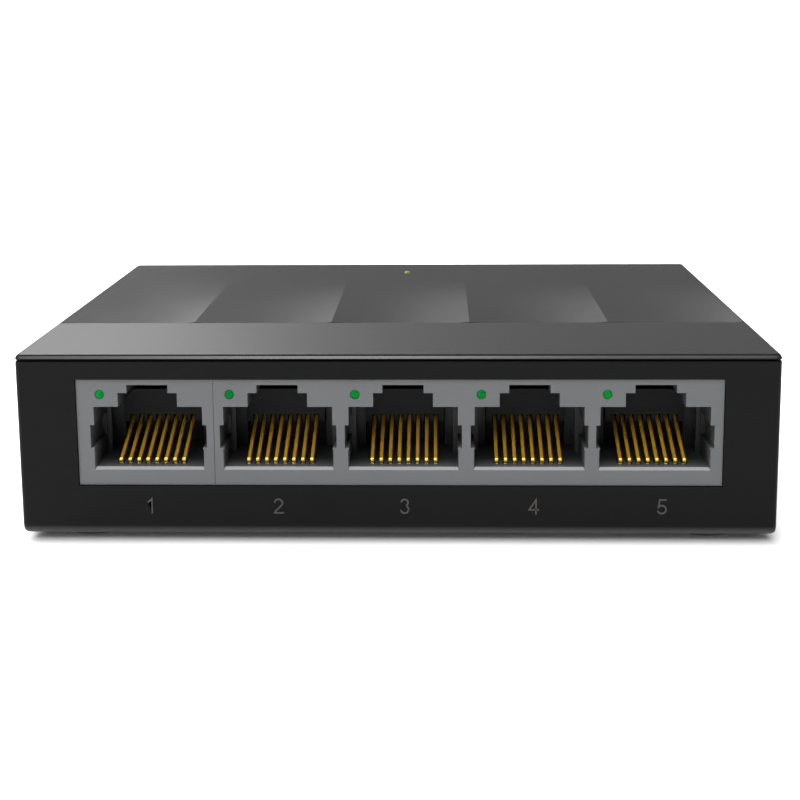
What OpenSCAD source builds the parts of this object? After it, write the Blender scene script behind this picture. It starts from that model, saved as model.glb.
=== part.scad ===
// Five-port desktop network switch in a low plastic case.
// Millimetres. X runs along the port face, +X to the right as seen from the ports.
// The port face looks towards -Y, +Z is up, the rubber feet stand on Z = 0.

/* [Case] */
// Width of the case along the port face
case_w = 83; // [82:0.5:88]
// Depth of the case from the port face to the far wall
case_d = 58; // [57:0.5:66]
// Height of the case without its feet
case_h = 20.45; // [20.4:0.05:22]
// Thickness of the side walls
wall = 1.8; // [1.6:0.1:2.2]
// Thickness of the floor
floor_t = 1.8; // [1.6:0.1:2]
// Radius of the upright corners
corner_r = 0.6; // [0.3:0.1:1.2]
// Bevel along the bottom edges
base_bevel = 0.9; // [0.3:0.1:1.2]

/* [Top cover] */
// Height of the cover's rim where it shows above the walls
rim_h = 0.55; // [0.4:0.05:0.9]
// Shadow gap under the rim
rim_gap = 0.2; // [0.1:0.05:0.3]
// Thickness of the cover under its top face
cover_t = 1.8; // [1.5:0.1:2]
// Depth of the plain strip in front of the facets
strip_d = 16.3; // [12:0.1:18]
// Width of one facet of the relief
facet_w = 16.6; // [14:0.1:17.5]
// Length over which a facet fades out
facet_run = 27; // [20:1:32]
// Deepest point of a facet
facet_depth = 0.3; // [0.1:0.05:0.5]

/* [Ports] */
// Height of the jack faces above the underside of the case
jack_z = 5.75; // [5.7:0.05:6]
// Height of the jack housings
jack_h = 11.88; // [11.8:0.01:12]
// Depth of the jack housings
jack_d = 14; // [13.5:0.1:14.5]
// Set-back of the jack faces behind the port face
jack_set = 0.25; // [0.1:0.05:0.6]
// Width of a socket opening
open_w = 11.9; // [11.8:0.05:12]
// Width of one contact wire
wire_w = 0.38; // [0.3:0.01:0.42]
// Spacing of the contact wires
wire_pitch = 1.0; // [0.98:0.01:1.02]
// Slope of the contact wires at rest, in degrees
wire_slope = 26; // [24:0.5:27]

/* [Power inlet] */
// Radius of the inlet's centre pin
dc_pin_r = 0.65; // [0.5:0.05:0.8]
// Radius of the inlet's bore
dc_bore_r = 1.95; // [1.9:0.05:2]
// Distance of the inlet behind the port face
dc_back = 31; // [30.5:0.5:32]

/* [Feet and screws] */
// Radius of a rubber foot
foot_r = 4.5; // [3.5:0.1:4.6]
// How far a foot stands out below the case
foot_out = 0.8; // [0.5:0.1:1.2]
// Radius of a screw's shank
screw_r = 1.28; // [1.1:0.02:1.3]
// Distance of the keyholes' entries from each other
key_span = 44; // [40:1:46]
// Radius of a keyhole's entry
key_r = 3.2; // [3:0.05:3.4]

/* [Hidden] */
$fn = 48;
z0 = foot_out;                    // underside of the case
z_top = z0 + case_h;              // top face
z_floor = z0 + floor_t;           // inside of the floor
z_rim = z_top - rim_h;            // underside of the cover's rim
z_wall = z_rim - rim_gap;         // outer top edge of the walls
z_in = z_top - cover_t;           // inside of the cover
yf = -case_d / 2;                 // port face
yb = case_d / 2;                  // far wall
xi = case_w / 2 - wall;           // inside of the side walls
yi = case_d / 2 - wall;           // inside of the front and far walls
fit = 0.15;                       // assembly clearance

board_t = 1.6;
zb_top = z0 + jack_z;             // top of the board
zb_bot = zb_top - board_t;
board_x = 37.4;
board_y0 = yf + 2.6;
board_y1 = 25.4;

// Jacks: the single jack holds port 1, the ganged jack ports 2 to 5.
single_x = [-34.92, -19.99];
quad_x = [-19.89, 35.40];
port_x = [-27.13, -12.92, 0.75, 14.47, 28.07];
jy = yf + jack_set;               // jack faces
jz = z0 + jack_z;
zf = z0 + 7.75;                   // floor of a socket
z_main = z0 + 14.59;              // top of the wide part of an opening
z_step = z0 + 16.13;
z_tab = z0 + 17.03;
carrier_d = 7.5;                  // comb face behind the jack face
cavity_d = 12.9;
piv_y = jy + 1.75;                // bend of the contact wires
piv_z = zf + 0.34;
wire_t = 0.3;
tip_d = 8.5;                      // reach of the wire tips behind the jack face
notch_z = piv_z + (carrier_d - 1.75) * tan(wire_slope) + 0.26;

dc_y = yf + dc_back;
dc_z = zb_top + 3.2;
dc_x0 = -case_w / 2 + wall + 0.12;   // front of the square body
dc_x1 = dc_x0 + 9.8;                 // back of the body
dc_nose = -case_w / 2 + 0.3;
leaf_px = dc_x1 - 2.1;               // spring pivot
leaf_pz = dc_z - dc_bore_r - 0.55;
boss_x = 35.5;
boss_y = 12;
foot_x = case_w / 2 - 7;
foot_y = case_d / 2 - 6.5;
label_w = 34;
label_d = 15;

// ---------- helpers ----------
// Rectangle with rounded corners, centred on the origin.
module rrect(w, d, r, n = 5) {
  polygon([for (q = [0:3]) for (i = [0:n])
    let (a = q * 90 + i * 90 / n,
         cx = ((q == 0 || q == 3) ? 1 : -1) * (w / 2 - r),
         cy = ((q == 0 || q == 1) ? 1 : -1) * (d / 2 - r))
    [cx + r * cos(a), cy + r * sin(a)]]);
}
// Box between two corners.
module span(a, b) translate(a) cube(b - a);
// Extrude a YZ profile along X, centred on x.
module along_x(x, w) translate([x - w / 2, 0, 0]) rotate([90, 0, 90]) linear_extrude(w) children();
// 45-degree cuts along the four edges of a rectangle w by d at height z; s = 1 cuts above, -1 below.
module edge_cut(w, d, z, b, s) {
  k = b * sqrt(2);
  for (m = [-1, 1]) {
    translate([m * w / 2, 0, z]) rotate([0, 45, 0]) cube([k, d + 10, k], center = true);
    translate([0, m * d / 2, z]) rotate([45, 0, 0]) cube([w + 10, k, k], center = true);
  }
}

// ---------- case ----------
module screw_places() for (m = [-1, 1]) translate([m * boss_x, boss_y, 0]) children();
module foot_places() for (m = [-1, 1]) for (n = [-1, 1]) translate([m * foot_x, n * foot_y, 0]) children();
module peg_places() for (p = [[-23, -11.5], [23.5, -11.5], [-16, 23], [16, 23]]) translate([p[0], p[1], 0]) children();

// Strokes of the raised port numbers, each a box in a 1 by 1.65 cell.
function digit(n) =
  n == 1 ? [[[0.42, 0], [0.58, 1.65]], [[0.22, 1.28], [0.5, 1.44]]] :
  n == 2 ? [[[0, 0], [1, 0.16]], [[0, 0.1], [0.16, 0.85]], [[0, 0.75], [1, 0.91]], [[0.84, 0.8], [1, 1.6]], [[0, 1.49], [1, 1.65]]] :
  n == 3 ? [[[0, 0], [1, 0.16]], [[0.84, 0.05], [1, 1.6]], [[0.2, 0.75], [1, 0.91]], [[0, 1.49], [1, 1.65]]] :
  n == 4 ? [[[0.72, 0], [0.88, 1.65]], [[0, 0.4], [1.05, 0.56]], [[0, 0.45], [0.16, 1.65]]] :
           [[[0, 0], [1, 0.16]], [[0.84, 0.1], [1, 0.9]], [[0, 0.8], [1, 0.96]], [[0, 0.9], [0.16, 1.6]], [[0, 1.49], [1, 1.65]]];
digit_x = [-26.98, -12.99, 0.90, 14.94, 28.9];

module bottom_shell() color([0.11, 0.11, 0.115]) union() {
  difference() {
  union() {
    difference() {
      translate([0, 0, z0]) linear_extrude(z_rim - z0) rrect(case_w, case_d, corner_r);
      translate([0, 0, z_floor]) linear_extrude(40) rrect(2 * xi, 2 * yi, 0.5);
      // shadow gap: the outer part of the walls stops short of the rim
      difference() {
        span([-case_w, -case_d, z_wall], [case_w, case_d, z_rim + 5]);
        translate([0, 0, z_wall - 1]) linear_extrude(10) rrect(case_w - 1.2, case_d - 1.2, 0.4);
      }
    }
    // bosses that take the case screws
    screw_places() translate([0, 0, z0 + 0.5]) cylinder(h = 6.1, r = 3);
    // posts and pegs that locate the board
    peg_places() translate([0, 0, z0 + 0.5]) cylinder(h = zb_bot - z0 - 0.5, r = 2.2);
    peg_places() translate([0, 0, z0 + 0.5]) cylinder(h = zb_top + 0.9 - z0 - 0.5, r = 1.05);
    // rails under the front of the board
    for (m = [-1, 1]) span([m * 37.6 - 1.4, yf + 1, z0 + 0.5], [m * 37.6 + 1.4, yf + 8, zb_bot]);
    // pads over the feet and rings round the keyholes
    foot_places() translate([0, 0, z0 + 0.5]) cylinder(h = floor_t + 0.3, r = foot_r + 0.9);
  }
  edge_cut(case_w, case_d, z0, base_bevel, -1);
  // window for the jack faces
  span([single_x[0] - fit, yf - 2, jz - fit], [quad_x[1] + fit, yf + wall + 2, jz + jack_h + fit]);
  // hole for the power inlet's nose
  translate([-case_w / 2 - 2, dc_y, dc_z]) rotate([0, 90, 0]) cylinder(h = wall + 4, r = 2.95);
  // pockets for the cover's snap hooks
  for (m = [-1, 1]) {
    span([m * 20 - 2.8, yi - 0.5, z_in - 2.5], [m * 20 + 2.8, yi + 0.9, z_in - 1.1]);
    span([m * xi - (m > 0 ? 0.5 : 0.9), -10.8, z_in - 2.5], [m * xi + (m > 0 ? 0.9 : 0.5), -5.2, z_in - 1.1]);
  }
  // screw holes with recesses for the heads
  screw_places() translate([0, 0, z0 - 1]) cylinder(h = 12, r = 1.5);
  screw_places() translate([0, 0, z0 - 1]) cylinder(h = 3.6, r = 2.7);
  // recesses for the feet
  foot_places() translate([0, 0, z0 - 1]) cylinder(h = 1.8, r = foot_r + 0.1);
  // keyholes for hanging on two screw heads
  for (m = [-1, 1]) translate([m * key_span / 2, 0, 0]) {
    translate([0, 0, z0 - 1]) cylinder(h = 5, r = key_r);
    span([-1.7, 0, z0 - 1], [1.7, 5.6, z0 + 4]);
    translate([0, 5.6, z0 - 1]) cylinder(h = 5, r = 1.7);
  }
  // cooling slots
  for (i = [-4:4]) span([i * 3.6 - 0.75, 9, z0 - 1], [i * 3.6 + 0.75, 19, z0 + 4]);
  for (i = [-4:4]) span([i * 3.6 - 0.75, -22, z0 - 1], [i * 3.6 + 0.75, -12, z0 + 4]);
  // shallow recess for the label
  span([-label_w / 2 - 0.2, -label_d / 2 - 1.2, z0 - 1], [label_w / 2 + 0.2, label_d / 2 - 0.8, z0 + 0.15]);
}
  // raised port numbers
  for (n = [1:5]) for (s = digit(n))
    span([digit_x[n - 1] - 0.5 + s[0][0], yf - 0.1, z0 + 2.63 + s[0][1]],
         [digit_x[n - 1] - 0.5 + s[1][0], yf + 0.5, z0 + 2.63 + s[1][1]]);
}

module top_cover() color([0.13, 0.13, 0.135]) difference() {
  union() {
    translate([0, 0, z_rim]) linear_extrude(rim_h) rrect(case_w, case_d, corner_r);
    // plate that drops between the walls
    translate([0, 0, z_in]) linear_extrude(cover_t - 0.5) rrect(2 * (xi - fit), 2 * (yi - fit), 0.4);
    // skirt along the sides and the far wall
    difference() {
      translate([0, 0, z_in - 2.6]) linear_extrude(2.8) rrect(2 * (xi - fit), 2 * (yi - fit), 0.4);
      span([-xi + fit + 1.2, -case_d, z_in - 4], [xi - fit - 1.2, yi - fit - 1.2, z_in]);
      span([-case_w, -case_d, z_in - 4], [case_w, yf + 4, z_in]);
    }
    // snap hooks
    for (m = [-1, 1]) {
      span([m * 20 - 2.5, yi - 1, z_in - 2.3], [m * 20 + 2.5, yi + 0.65, z_in - 1.3]);
      span([m * xi - (m > 0 ? 1 : 0.65), -10.5, z_in - 2.3], [m * xi + (m > 0 ? 0.65 : 1), -5.5, z_in - 1.3]);
    }
    // bosses for the case screws
    screw_places() translate([0, 0, z0 + 6.75]) cylinder(h = z_in - z0 - 6.5, r = 3);
    // pads that hold the jacks and the board down
    for (x = [-31, -23.4, -6.1, 21.3, 33]) span([x - 1.1, jy + 9, jz + jack_h], [x + 1.1, jy + 12, z_in + 0.2]);
    // guide for the power light
    translate([0, yb - 7.3, z_in - 1.8]) cylinder(h = 2, r = 2.6);
    // stiffening ribs
    for (x = [-12, 12]) span([x - 0.5, -10, z_in - 1.2], [x + 0.5, 20, z_in + 0.2]);
  }
  edge_cut(case_w, case_d, z_top, 0.3, 1);
  // groove in front of the facets
  span([-case_w, yf + strip_d - 0.15, z_top - facet_depth], [case_w, yf + strip_d + 0.15, z_top + 1]);
  // sloping facets, each deepest at its left front corner
  for (i = [-2:2]) translate([(i - 0.5) * facet_w, yf + strip_d, z_top - facet_depth])
    rotate([atan(facet_depth / facet_run), 0, 0]) rotate([0, -atan(facet_depth / facet_w), 0])
      translate([0, 0, 0]) cube([facet_w * 1.0, facet_run * 1.05, 1]);
  // hole for the power light
  translate([0, yb - 7.3, z_in - 3]) cylinder(h = 6, r = 0.5);
  translate([0, yb - 7.3, z_in - 3]) cylinder(h = 3.3, r = 1.25);
  // pilot holes
  screw_places() translate([0, 0, z0 + 6]) cylinder(h = 9, r = 1.3);
}

module case_screws() color([0.55, 0.56, 0.58]) screw_places() difference() {
  union() {
    translate([0, 0, z0 + 0.9]) cylinder(h = 1.7, r = 2.4);
    translate([0, 0, z0 + 2]) cylinder(h = 9.4, r = screw_r);
    translate([0, 0, z0 + 11.4]) cylinder(h = 1, r1 = screw_r, r2 = 0.4);
  }
  // cross recess
  for (a = [0, 90]) rotate([0, 0, a]) translate([-1.3, -0.28, z0]) cube([2.6, 0.56, 1.9]);
}

module foot(m, n) color([0.16, 0.16, 0.165]) translate([m * foot_x, n * foot_y, 0]) {
  rotate_extrude() polygon([[0, 0], [foot_r - 0.25, 0], [foot_r, 0.25], [foot_r, z0 + 0.8], [0, z0 + 0.8]]);
}
module foot_front_left() foot(-1, -1);
module foot_front_right() foot(1, -1);
module foot_rear_left() foot(-1, 1);
module foot_rear_right() foot(1, 1);

module underside_label() color([0.75, 0.76, 0.77])
  span([-label_w / 2, -label_d / 2 - 1, z0 + 0.03], [label_w / 2, label_d / 2 - 1, z0 + 0.15]);

// ---------- board ----------
// Two staggered rows of solder holes behind each port.
function tail_x(c, i) = c + (i - 3.5) * wire_pitch;
function tail_y(i) = jy + (i % 2 == 0 ? 9.2 : 11.4);
module board_parts_holes() {
  for (c = port_x) for (i = [0:7]) translate([tail_x(c, i), tail_y(i), zb_bot - 1]) cylinder(h = 4, r = 0.42, $fn = 24);
  for (p = jack_pegs()) translate([p[0], p[1], zb_bot - 1]) cylinder(h = 4, r = 1.45);
  peg_places() translate([0, 0, zb_bot - 1]) cylinder(h = 4, r = 1.15);
  for (p = dc_legs()) translate([p[0], p[1], zb_bot - 1]) cylinder(h = 4, r = 0.75);
}
function jack_pegs() = [[port_x[0] - 5.6, jy + 6], [port_x[0] + 5.2, jy + 6],
  [port_x[1] - 4.9, jy + 6], [(port_x[2] + port_x[3]) / 2, jy + 6], [port_x[4] + 5.4, jy + 6]];
function dc_legs() = [[dc_x1 + 0.15, dc_y], [-36.6, dc_y], [-34.4, dc_y + 2.4]];
module circuit_board() color([0.05, 0.25, 0.14]) difference() {
  span([-board_x, board_y0, zb_bot], [board_x, board_y1, zb_top]);
  screw_places() translate([0, 0, zb_bot - 1]) cylinder(h = 4, r = 3.7);
  board_parts_holes();
}

// ---------- jacks ----------
module opening(c) {
  h = 0.02;
  // wide part, latch steps and side notches
  span([c - open_w / 2, jy - 1, zf], [c + open_w / 2, jy + cavity_d, z_main]);
  span([c - 3.25, jy - 1, z_main - h], [c + 3.25, jy + cavity_d, z_step]);
  span([c - 2.24, jy - 1, z_step - h], [c + 2.24, jy + 9.5, z_tab]);
  span([c - 6.385, jy - 1, z0 + 9.95], [c + 6.385, jy + 5.2, z0 + 12.52]);
  // bevel in front of the socket's floor
  along_x(c, open_w) polygon([[jy - 1, zf + 0.5], [jy - 1, zf - 0.46], [jy, zf - 0.46], [jy + 0.75, zf], [jy + 0.75, zf + 0.5]]);
  // pocket under the floor for the contact tails
  span([c - 4.4, jy + 2.6, jz - 1], [c + 4.4, jy + jack_d + 1, zf - 0.6]);
  // slots where the wires come up through the floor
  for (i = [0:7]) span([tail_x(c, i) - 0.28, jy + 1.2, zf - 1.1], [tail_x(c, i) + 0.28, jy + 3, zf + 0.5]);
  span([c - 4.4, jy + 1.2, jz - 1], [c + 4.4, jy + 3, zf - 0.6]);
  // bore of the light pipe
  translate([c - 5.23, jy - 1, z0 + 15.97]) rotate([-90, 0, 0]) cylinder(h = jack_d + 2, r = 0.53);
}
// Guide ribs on the side walls of a socket.
module guide_ribs(c) for (m = [-1, 1]) {
  span([c + m * 5.72 - 0.25, jy + 5.6, zf - 0.1], [c + m * 5.72 + 0.25, jy + 6.3, z_main + 0.1]);
  span([c + m * 5.3 - 0.75, jy + carrier_d + 0.9, zf - 0.1], [c + m * 5.3 + 0.75, jy + cavity_d + 0.1, z_main + 0.1]);
}
module housing(x, ports, pegs) difference() {
  union() {
    difference() {
      span([x[0], jy, jz], [x[1], jy + jack_d, jz + jack_h]);
      for (c = ports) opening(c);
      // small bevels on the face's edges
      translate([0, jy, jz + jack_h]) rotate([45, 0, 0]) cube([200, 0.3, 0.3], center = true);
      translate([0, jy, jz]) rotate([45, 0, 0]) cube([200, 0.2, 0.2], center = true);
    }
    for (c = ports) guide_ribs(c);
    for (p = pegs) translate([p[0], p[1], zb_bot - 1]) cylinder(h = board_t + 1.5, r = 1.4);
  }
}
module rj45_housing_single() color([0.42, 0.43, 0.44]) housing(single_x, [port_x[0]], [jack_pegs()[0], jack_pegs()[1]]);
module rj45_housing_quad() color([0.40, 0.41, 0.42])
  housing(quad_x, [for (i = [1:4]) port_x[i]], [jack_pegs()[2], jack_pegs()[3], jack_pegs()[4]]);

// Insert that holds the wires and combs their free ends.
module carrier(c) color([0.09, 0.09, 0.1]) difference() {
  along_x(c, 9.0) polygon([[jy + carrier_d, notch_z - 0.42], [jy + 9.6, notch_z - 0.42], [jy + 9.6, zf],
    [jy + cavity_d, zf], [jy + cavity_d, z_main], [jy + carrier_d, z_main]]);
  for (i = [0:7]) span([tail_x(c, i) - 0.3, jy + carrier_d - 1, notch_z - 2], [tail_x(c, i) + 0.3, jy + 9.2, notch_z + 0.42]);
}
module port_1_contact_carrier() carrier(port_x[0]);
module port_2_contact_carrier() carrier(port_x[1]);
module port_3_contact_carrier() carrier(port_x[2]);
module port_4_contact_carrier() carrier(port_x[3]);
module port_5_contact_carrier() carrier(port_x[4]);

// Sprung part of the eight wires: a round bend at the front and a beam that climbs to the comb.
module wires(c) color([0.83, 0.62, 0.16]) for (i = [0:7]) along_x(tail_x(c, i), wire_w)
  translate([piv_y, piv_z]) rotate(wire_slope) union() {
    circle(r = 0.3, $fn = 24);
    translate([0, -wire_t / 2]) square([(tip_d - 1.75) / cos(wire_slope), wire_t]);
  }
module port_1_contacts() wires(port_x[0]);
module port_2_contacts() wires(port_x[1]);
module port_3_contacts() wires(port_x[2]);
module port_4_contacts() wires(port_x[3]);
module port_5_contacts() wires(port_x[4]);

// Fixed part of the eight wires: a riser under the bend, a run to the back and a leg through the board.
module tails(c) color([0.78, 0.7, 0.5]) for (i = [0:7]) along_x(tail_x(c, i), wire_w)
  polygon([[piv_y - 0.15, zf - 0.02], [piv_y - 0.15, zf - 1.4], [tail_y(i) - 0.15, zf - 1.4], [tail_y(i) - 0.15, zb_bot - 1.2],
    [tail_y(i) + 0.15, zb_bot - 1.2], [tail_y(i) + 0.15, zf - 1.1], [piv_y + 0.15, zf - 1.1], [piv_y + 0.15, zf - 0.02]]);
module port_1_contact_tails() tails(port_x[0]);
module port_2_contact_tails() tails(port_x[1]);
module port_3_contact_tails() tails(port_x[2]);
module port_4_contact_tails() tails(port_x[3]);
module port_5_contact_tails() tails(port_x[4]);

// ---------- lights ----------
led_y = jy + jack_d + 1.1;
module port_light_pipes() color([0.1, 0.62, 0.25]) for (c = port_x) translate([c - 5.23, 0, z0 + 15.97]) union() {
  translate([0, jy + 0.02, 0]) rotate([-90, 0, 0]) cylinder(h = jack_d + 1.5, r = 0.5);
  translate([0, jy - 0.16, 0]) rotate([-90, 0, 0]) cylinder(h = 0.2, r1 = 0.28, r2 = 0.5);
  translate([-0.6, led_y - 0.6, zb_top + 0.95 - z0 - 15.97]) cube([1.2, 1.2, z0 + 15.97 - zb_top - 0.95 + 0.62]);
}
module port_leds() color([0.85, 0.85, 0.75]) for (c = port_x)
  span([c - 5.23 - 0.8, led_y - 0.4, zb_top], [c - 5.23 + 0.8, led_y + 0.4, zb_top + 0.8]);
module power_light_pipe() color([0.6, 0.75, 0.15]) translate([0, yb - 7.3, 0]) {
  translate([0, 0, zb_top + 0.95]) cylinder(h = z_in + 0.25 - zb_top - 0.95, r = 1.2);
  translate([0, 0, z_in]) cylinder(h = cover_t - 0.02, r = 0.46);
}
module power_led() color([0.85, 0.85, 0.75]) span([-0.8, yb - 7.7, zb_top], [0.8, yb - 6.9, zb_top + 0.8]);

// ---------- parts on the board ----------
chip = [3, 5];
module switch_chip() color([0.08, 0.08, 0.085]) difference() {
  translate([chip[0], chip[1], zb_top + 0.1]) linear_extrude(1.3) rrect(12, 12, 0.5, 2);
  translate([chip[0] - 4.8, chip[1] + 4.8, zb_top + 1.35]) cylinder(h = 1, r = 0.5);
}
module switch_chip_leads() color([0.7, 0.71, 0.72]) for (q = [0:3]) translate([chip[0], chip[1], 0]) rotate([0, 0, q * 90])
  for (i = [-10:10]) along_x(i * 0.5, 0.24)
    polygon([[6, zb_top + 0.62], [6.45, zb_top + 0.62], [6.6, zb_top + 0.15], [7.1, zb_top + 0.15], [7.1, zb_top], [6.5, zb_top],
      [6.33, zb_top + 0.47], [6, zb_top + 0.47]]);
module magnetics(x, w, d, n) color([0.1, 0.1, 0.105]) {
  translate([x, -7, zb_top + 0.2]) linear_extrude(4.6) rrect(w, d, 0.4, 2);
  // gull-wing leads along both long sides
  for (s = [-1, 1]) for (i = [0:n - 1])
    span([x + (i - (n - 1) / 2) * 1.27 - 0.2, -7 + s * (d / 2 + 0.45) - 0.5, zb_top],
         [x + (i - (n - 1) / 2) * 1.27 + 0.2, -7 + s * (d / 2 + 0.45) + 0.5, zb_top + 0.25]);
}
module magnetics_port_1() magnetics(-29.4, 9, 7, 6);
module magnetics_ports_2_3() magnetics(-8, 16, 7, 12);
module magnetics_ports_4_5() magnetics(13, 16, 7, 12);
module crystal() color([0.75, 0.76, 0.77]) translate([-10.6, 7, zb_top]) {
  linear_extrude(0.5) rrect(11, 4.8, 2.3, 6);
  translate([0, 0, 0.4]) linear_extrude(3.1) rrect(10, 3.8, 1.85, 6);
}
// Can with a crimped foot, standing on the board.
module can(x, y, r, h) translate([x, y, zb_top]) rotate_extrude()
  polygon([[0, 0], [r, 0], [r, 0.9], [r - 0.25, 1.15], [r - 0.25, 1.5], [r, 1.75], [r, h - 0.25], [r - 0.25, h], [0, h]]);
module input_capacitor() color([0.12, 0.13, 0.2]) can(-22, 6.5, 3.15, 11);
module output_capacitor() color([0.12, 0.13, 0.2]) can(-22, 15.5, 2.5, 7);
module power_inductor() color([0.16, 0.16, 0.17]) translate([-29.5, 19, zb_top]) difference() {
  union() {
    linear_extrude(3) rrect(6, 6, 1.6, 4);
  }
  translate([0, 0, 2.6]) difference() { cylinder(h = 1, r = 2.5); translate([0, 0, -1]) cylinder(h = 3, r = 2.0); }
}
module voltage_regulator() color([0.08, 0.08, 0.085]) translate([-14.5, 15.5, zb_top]) {
  translate([-1.95, -2.45, 0.1]) cube([3.9, 4.9, 1.4]);
  for (s = [-1, 1]) for (i = [0:3]) translate([s * 2.45 - 0.55, (i - 1.5) * 1.27 - 0.2, 0]) cube([1.1, 0.4, 0.3]);
}
cap_spots = [[-5, 14], [-1, 15], [3, 15], [7, 15], [12, 11], [13, 2], [13, 5.5], [-9.2, 11.5], [-4.6, -1.5], [-27, 12], [23, 6], [27, 4], [22, 14]];
res_spots = [[16, 9], [18.5, 9], [21, 9], [23.5, 9.5], [16, 14], [18.5, 14], [-3.8, 20], [26, 11], [28.5, 11], [29, 15.5], [-12.5, 2], [-15, 2], [20, 2.5], [23, 1]];
module ceramic_capacitors() color([0.62, 0.5, 0.36]) for (p = cap_spots)
  span([p[0] - 1, p[1] - 0.6, zb_top], [p[0] + 1, p[1] + 0.6, zb_top + 0.9]);
module chip_resistors() color([0.1, 0.1, 0.11]) for (p = res_spots)
  span([p[0] - 0.4, p[1] - 0.8, zb_top], [p[0] + 0.4, p[1] + 0.8, zb_top + 0.45]);

// ---------- power inlet ----------
module dc_jack_housing() color([0.07, 0.07, 0.075]) difference() {
  union() {
    span([dc_x0, dc_y - 3.5, zb_top], [dc_x1, dc_y + 3.5, zb_top + 6.4]);
    translate([dc_nose, dc_y, dc_z]) rotate([0, 90, 0]) cylinder(h = dc_x0 - dc_nose + 1, r = 2.8);
  }
  translate([dc_nose - 1, dc_y, dc_z]) rotate([0, 90, 0]) cylinder(h = dc_x1 - 1.6 - dc_nose + 1, r = dc_bore_r);
  // room for the spring under the bore
  span([dc_x0 + 0.8, dc_y - 0.95, leaf_pz - 0.62], [dc_x1 - 1.2, dc_y + 0.95, dc_z - dc_bore_r + 0.6]);
  // holes for the pin and the terminals
  translate([dc_x1 - 3, dc_y, dc_z]) rotate([0, 90, 0]) cylinder(h = 5, r = dc_pin_r + 0.3);
  span([dc_legs()[1][0] - 0.3, dc_y - 0.5, zb_top - 1], [dc_legs()[1][0] + 0.3, dc_y + 0.5, leaf_pz - 0.5]);
  span([dc_legs()[2][0] - 0.25, dc_y + 1.9, zb_top - 1], [dc_legs()[2][0] + 0.25, dc_y + 2.9, zb_top + 3]);
}
module dc_jack_pin() color([0.72, 0.73, 0.74]) union() {
  translate([dc_nose + 0.7, dc_y, dc_z]) rotate([0, 90, 0]) cylinder(h = 0.35, r1 = dc_pin_r - 0.25, r2 = dc_pin_r);
  translate([dc_nose + 1.05, dc_y, dc_z]) rotate([0, 90, 0]) cylinder(h = dc_x1 - 1.5 - dc_nose - 1.05, r = dc_pin_r);
  translate([dc_x1 - 1.6, dc_y, dc_z]) rotate([0, 90, 0]) cylinder(h = 1.6, r = dc_pin_r + 0.3);
}
// Flat spring that bears on the plug's sleeve; it bends down about its root.
module dc_jack_spring() color([0.78, 0.68, 0.42]) translate([0, dc_y - 0.75, 0]) mirror([0, 1, 0]) rotate([90, 0, 0]) linear_extrude(1.5)
  polygon([[leaf_px + 0.2, leaf_pz + 0.12], [leaf_px - 5.0, leaf_pz + 0.82], [leaf_px - 6.4, leaf_pz + 0.3],
    [leaf_px - 6.4, leaf_pz + 0.04], [leaf_px - 5.0, leaf_pz + 0.56], [leaf_px + 0.2, leaf_pz - 0.12]]);
module dc_jack_terminals() color([0.7, 0.71, 0.72]) {
  // behind the pin
  span([dc_x1, dc_y - 0.45, zb_bot - 1.2], [dc_x1 + 0.3, dc_y + 0.45, dc_z + 0.9]);
  // under the spring, and beside the bore
  span([dc_legs()[1][0] - 0.2, dc_y - 0.4, zb_bot - 1.2], [dc_legs()[1][0] + 0.2, dc_y + 0.4, leaf_pz - 0.7]);
  span([dc_legs()[2][0] - 0.15, dc_y + 2.05, zb_bot - 1.2], [dc_legs()[2][0] + 0.15, dc_y + 2.75, zb_top + 2.9]);
}

top_cover();
bottom_shell();
circuit_board();
rj45_housing_single();
rj45_housing_quad();
port_1_contacts();
port_2_contacts();
port_3_contacts();
port_4_contacts();
port_5_contacts();
port_1_contact_carrier();
port_2_contact_carrier();
port_3_contact_carrier();
port_4_contact_carrier();
port_5_contact_carrier();
port_1_contact_tails();
port_2_contact_tails();
port_3_contact_tails();
port_4_contact_tails();
port_5_contact_tails();
port_light_pipes();
port_leds();
power_light_pipe();
power_led();
switch_chip();
switch_chip_leads();
magnetics_port_1();
magnetics_ports_2_3();
magnetics_ports_4_5();
crystal();
input_capacitor();
output_capacitor();
power_inductor();
voltage_regulator();
ceramic_capacitors();
chip_resistors();
dc_jack_housing();
dc_jack_pin();
dc_jack_spring();
dc_jack_terminals();
case_screws();
foot_front_left();
foot_front_right();
foot_rear_left();
foot_rear_right();
underside_label();
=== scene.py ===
import math

import bmesh
import bpy
from mathutils import Matrix, Vector


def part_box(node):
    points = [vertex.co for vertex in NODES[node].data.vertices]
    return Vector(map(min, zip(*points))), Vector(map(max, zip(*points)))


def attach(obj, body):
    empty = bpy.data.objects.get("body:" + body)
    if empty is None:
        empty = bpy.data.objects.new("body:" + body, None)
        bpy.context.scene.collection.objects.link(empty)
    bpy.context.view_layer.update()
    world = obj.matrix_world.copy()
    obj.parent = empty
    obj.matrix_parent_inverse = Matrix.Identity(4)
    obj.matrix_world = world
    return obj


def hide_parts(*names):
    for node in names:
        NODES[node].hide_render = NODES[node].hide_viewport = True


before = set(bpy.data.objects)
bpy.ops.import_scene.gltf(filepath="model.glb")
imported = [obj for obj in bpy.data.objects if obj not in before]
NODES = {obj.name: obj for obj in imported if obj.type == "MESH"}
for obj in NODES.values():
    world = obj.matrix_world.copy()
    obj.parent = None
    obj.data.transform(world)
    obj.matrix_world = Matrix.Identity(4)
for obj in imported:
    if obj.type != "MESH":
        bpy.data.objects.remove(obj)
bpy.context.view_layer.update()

MM = 0.001


def box_mm(node):
    a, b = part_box(node)
    return [v / MM for v in a], [v / MM for v in b]


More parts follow.
